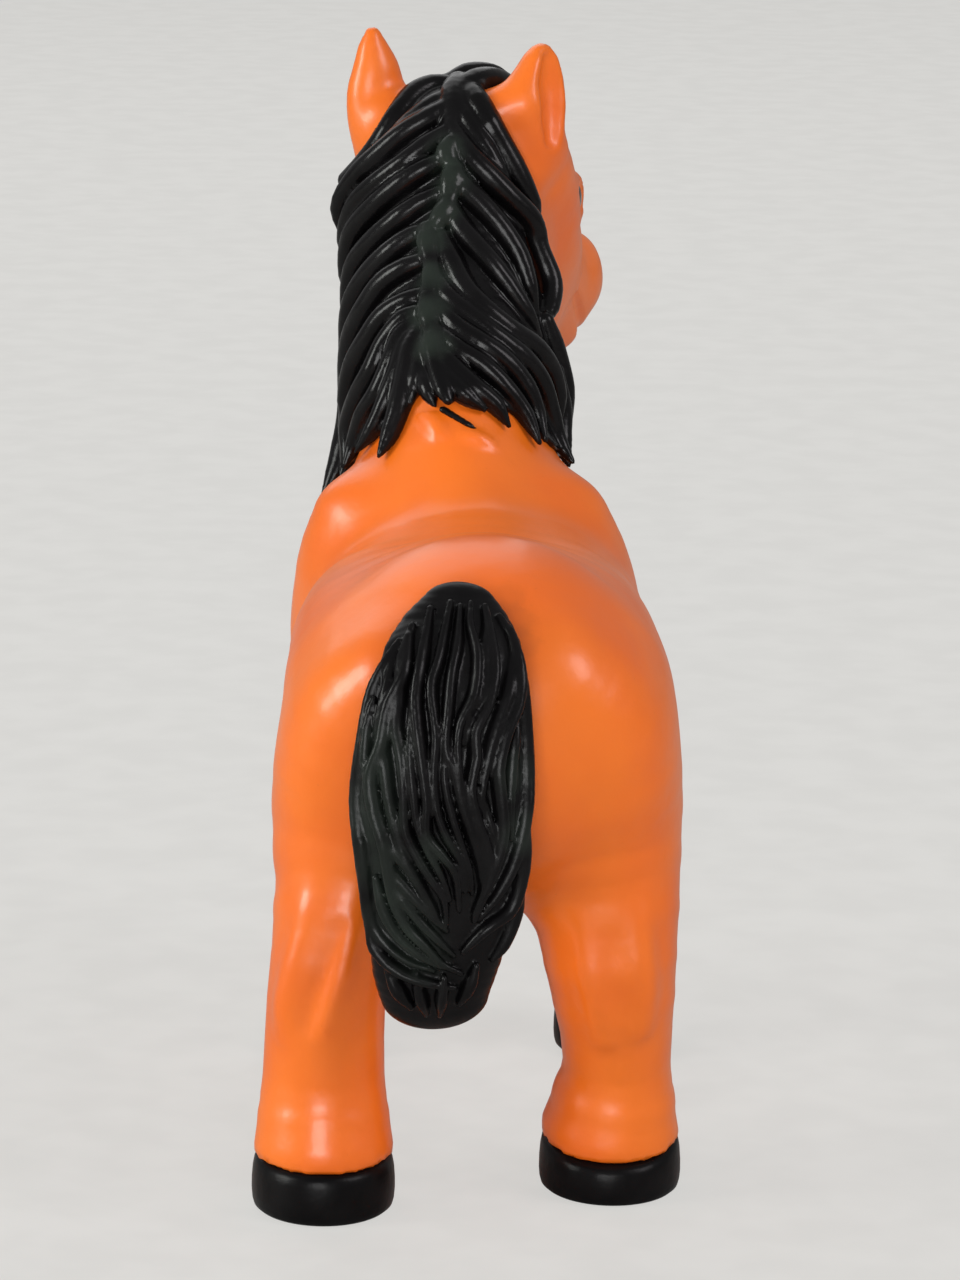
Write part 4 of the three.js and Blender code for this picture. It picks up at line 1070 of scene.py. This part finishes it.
def tail_lock(row, side, lift):
    """A lock along the tail's core, lifted off it: straight walks come at the core from behind, or
    from the front where side is -1, and stop there, or where they pass it the closest."""
    half_width, *path = row
    down, across = np.array(path).T / 100
    down = np.maximum(down, -top_height + top_fall * (across - top_middle) ** 2)
    behind = core_back + side * walk_start
    starts = np.array([tail_point(*place, behind) for place in zip(down, across)])
    walk = np.linspace(0, tail_depth * walk_length, walk_steps + 1)
    spots = starts[:, None] - np.array([0, side, 0]) * walk[None, :, None]
    off = form_distance([tail_core], spots.reshape(-1, 3)).reshape(len(path), -1) - lift
    first = np.where((off <= 0).any(1), np.argmax(off <= 0, 1), np.argmin(off, 1))
    points = spots[np.arange(len(path)), first]
    level = core_middles[::-1]
    middle = np.column_stack([np.interp(points[:, 2], level[:, 2], level[:, axis]) for axis in (0, 1)])
    out = np.column_stack([points[:, :2] - middle, np.zeros(len(points))])
    widest = half_width * 0.001 * tail_lock_slimness
    return lock_rod(points, out, widest, tail_swell, tail_lock_height, tail_lock_blend)


tail_chains = [tail_core, tail_dock]
tail_chains += [tail_lock(row, 1, tail_lock_lifts[k % 3]) for k, row in enumerate(tail_locks)]
tail_chains += [tail_lock(row, -1, tail_front_lift) for row in tail_front_locks]


def tail_distance(points):
    """How far points lie outside the tail's core, dock and locks."""
    return form_distance(tail_chains, points)


# Where the black is rubbed and painted with a grey green sheen of the greenish left light, mostly on the
# left: shares of the tail, and reaches in millimetres.
wear_and_sheen_places = [
    (0.30, 1.05, 0.9, 9), (0.45, 1.15, 0.95, 9), (0.60, 1.0, 1.0, 8), (0.72, 0.85, 1.0, 9),
    (0.82, 0.6, 1.0, 8), (0.55, 0.45, 1.25, 6), (0.35, -0.45, 0.95, 6), (0.50, -0.50, 0.95, 6),
]
tail_wear_and_sheen = [(*(tail_point(*place) * 1000), reach) for *place, reach in wear_and_sheen_places]
tail_skin = skin(tail_distance, *form_box(tail_chains, lock_room), tail_cell)
tail = piece("tail_locks", *tail_skin, gloss_black("tail_paint", 0.25, 0.17, tail_wear_and_sheen, 0.24))
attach(tail, "root")
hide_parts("tail")


# HOOVES. Four solid mouldings, each with a spigot up into its leg. Narrow under the hairline, they
# flare to a rounded ground edge. Gloss black.

# From the middle of the sole to the middle of the top: a share of the half width, and a height.
hoof_profile = [
    (0.0, 0.0), (0.82, 0.0), (0.92, 0.0002), (0.97, 0.0008), (0.99, 0.0018), (1.0, 0.0034),
    (0.998, 0.0055), (0.985, 0.0078), (0.965, 0.0092), (0.93, 0.0101), (0.86, hoof_height),
    (0.0, hoof_height),
]


def lathe(profile, middle, wide, long, sides=64, tilt=0.0):
    """A closed turned skin: each profile row is a share of the half widths and a height, at equal
    angles, with one point at each pole. Tilt raises the front, as a share of the way there."""
    angle = np.arange(sides) / sides * 2 * np.pi
    across, along = wide * np.cos(angle), long * np.sin(angle)
    rings = [
        np.column_stack([middle[0] + share * across, middle[1] + share * along, np.full(sides, height)])
        for share, height in profile[1:-1]
    ]
    low, high = ([(middle[0], middle[1], profile[pole][1])] for pole in (0, -1))
    points = np.vstack([low, *rings, high])
    points[:, 2] += tilt * (middle[1] - points[:, 1]) * (points[:, 2] / profile[-1][1]) ** 2
    here = 1 + np.arange(sides)
    beyond = 1 + (np.arange(sides) + 1) % sides
    pole, top, last = np.zeros(sides, int), len(points) - 1, (len(rings) - 1) * sides
    faces = np.column_stack([pole, beyond, here]).tolist()
    for down in range(0, last, sides):
        up = down + sides
        faces += np.column_stack([here + down, beyond + down, beyond + up, here + up]).tolist()
    faces += np.column_stack([here + last, beyond + last, pole + top]).tolist()
    return points, faces


hoof_paint = gloss_black("hoof_paint", 0.27, 0.12)
for hoof_place, tilt in zip(legs, hoof_tilts):
    low, high = (np.array(corner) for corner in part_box(f"hoof_{hoof_place}"))
    middle, half = (low + high) / 2, (high - low) / 2
    hoof_skin = lathe(hoof_profile, middle, *half[:2], tilt=tilt)
    hoof = piece(f"hoof_{hoof_place}_horn", *hoof_skin, hoof_paint)
    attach(hoof, "root")
    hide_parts(f"hoof_{hoof_place}")


# EYES. Two black lenses of hard gloss plastic, each pressed half into the head under a brow, with
# soft lids moulded round it.
eye_radius, eye_bulge, eye_sink = 0.0044, 0.0020, 0.0030
# Half an oval, from the back of a lens to its front.
lens_profile = [(math.sin(turn), -math.cos(turn)) for turn in np.linspace(0, math.pi, 17)]
for side in ("left", "right"):
    out = head_across * (1 if side == "left" else -1)
    middle = np.mean(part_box(f"eye_{side}"), 0) - out * eye_sink
    level = np.cross(out, (0, 0, 1))
    level /= np.linalg.norm(level)
    rise = np.cross(out, level)
    points, faces = lathe(lens_profile, (0, 0), 1.0, 1.0, 40)
    flat = (points[:, :1] * level + points[:, 1:2] * rise) * eye_radius
    gloss = Finish(f"eye_{side}_gloss")
    shade = gloss.mix(gloss.within(gloss.noise(200.0), 0.4, 0.6), paint("#0a0909"), paint("#15110f"))
    black = gloss.close(Base_Color=shade, Roughness=0.06, Coat_Weight=0.6)
    eye = piece(f"eye_{side}_lens", middle + flat + points[:, 2:] * out * eye_bulge, faces, black)
    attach(eye, "root")
    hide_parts(f"eye_{side}")


# COLOURS. They are shown as they are written.
bpy.context.scene.view_settings.view_transform = "Standard"
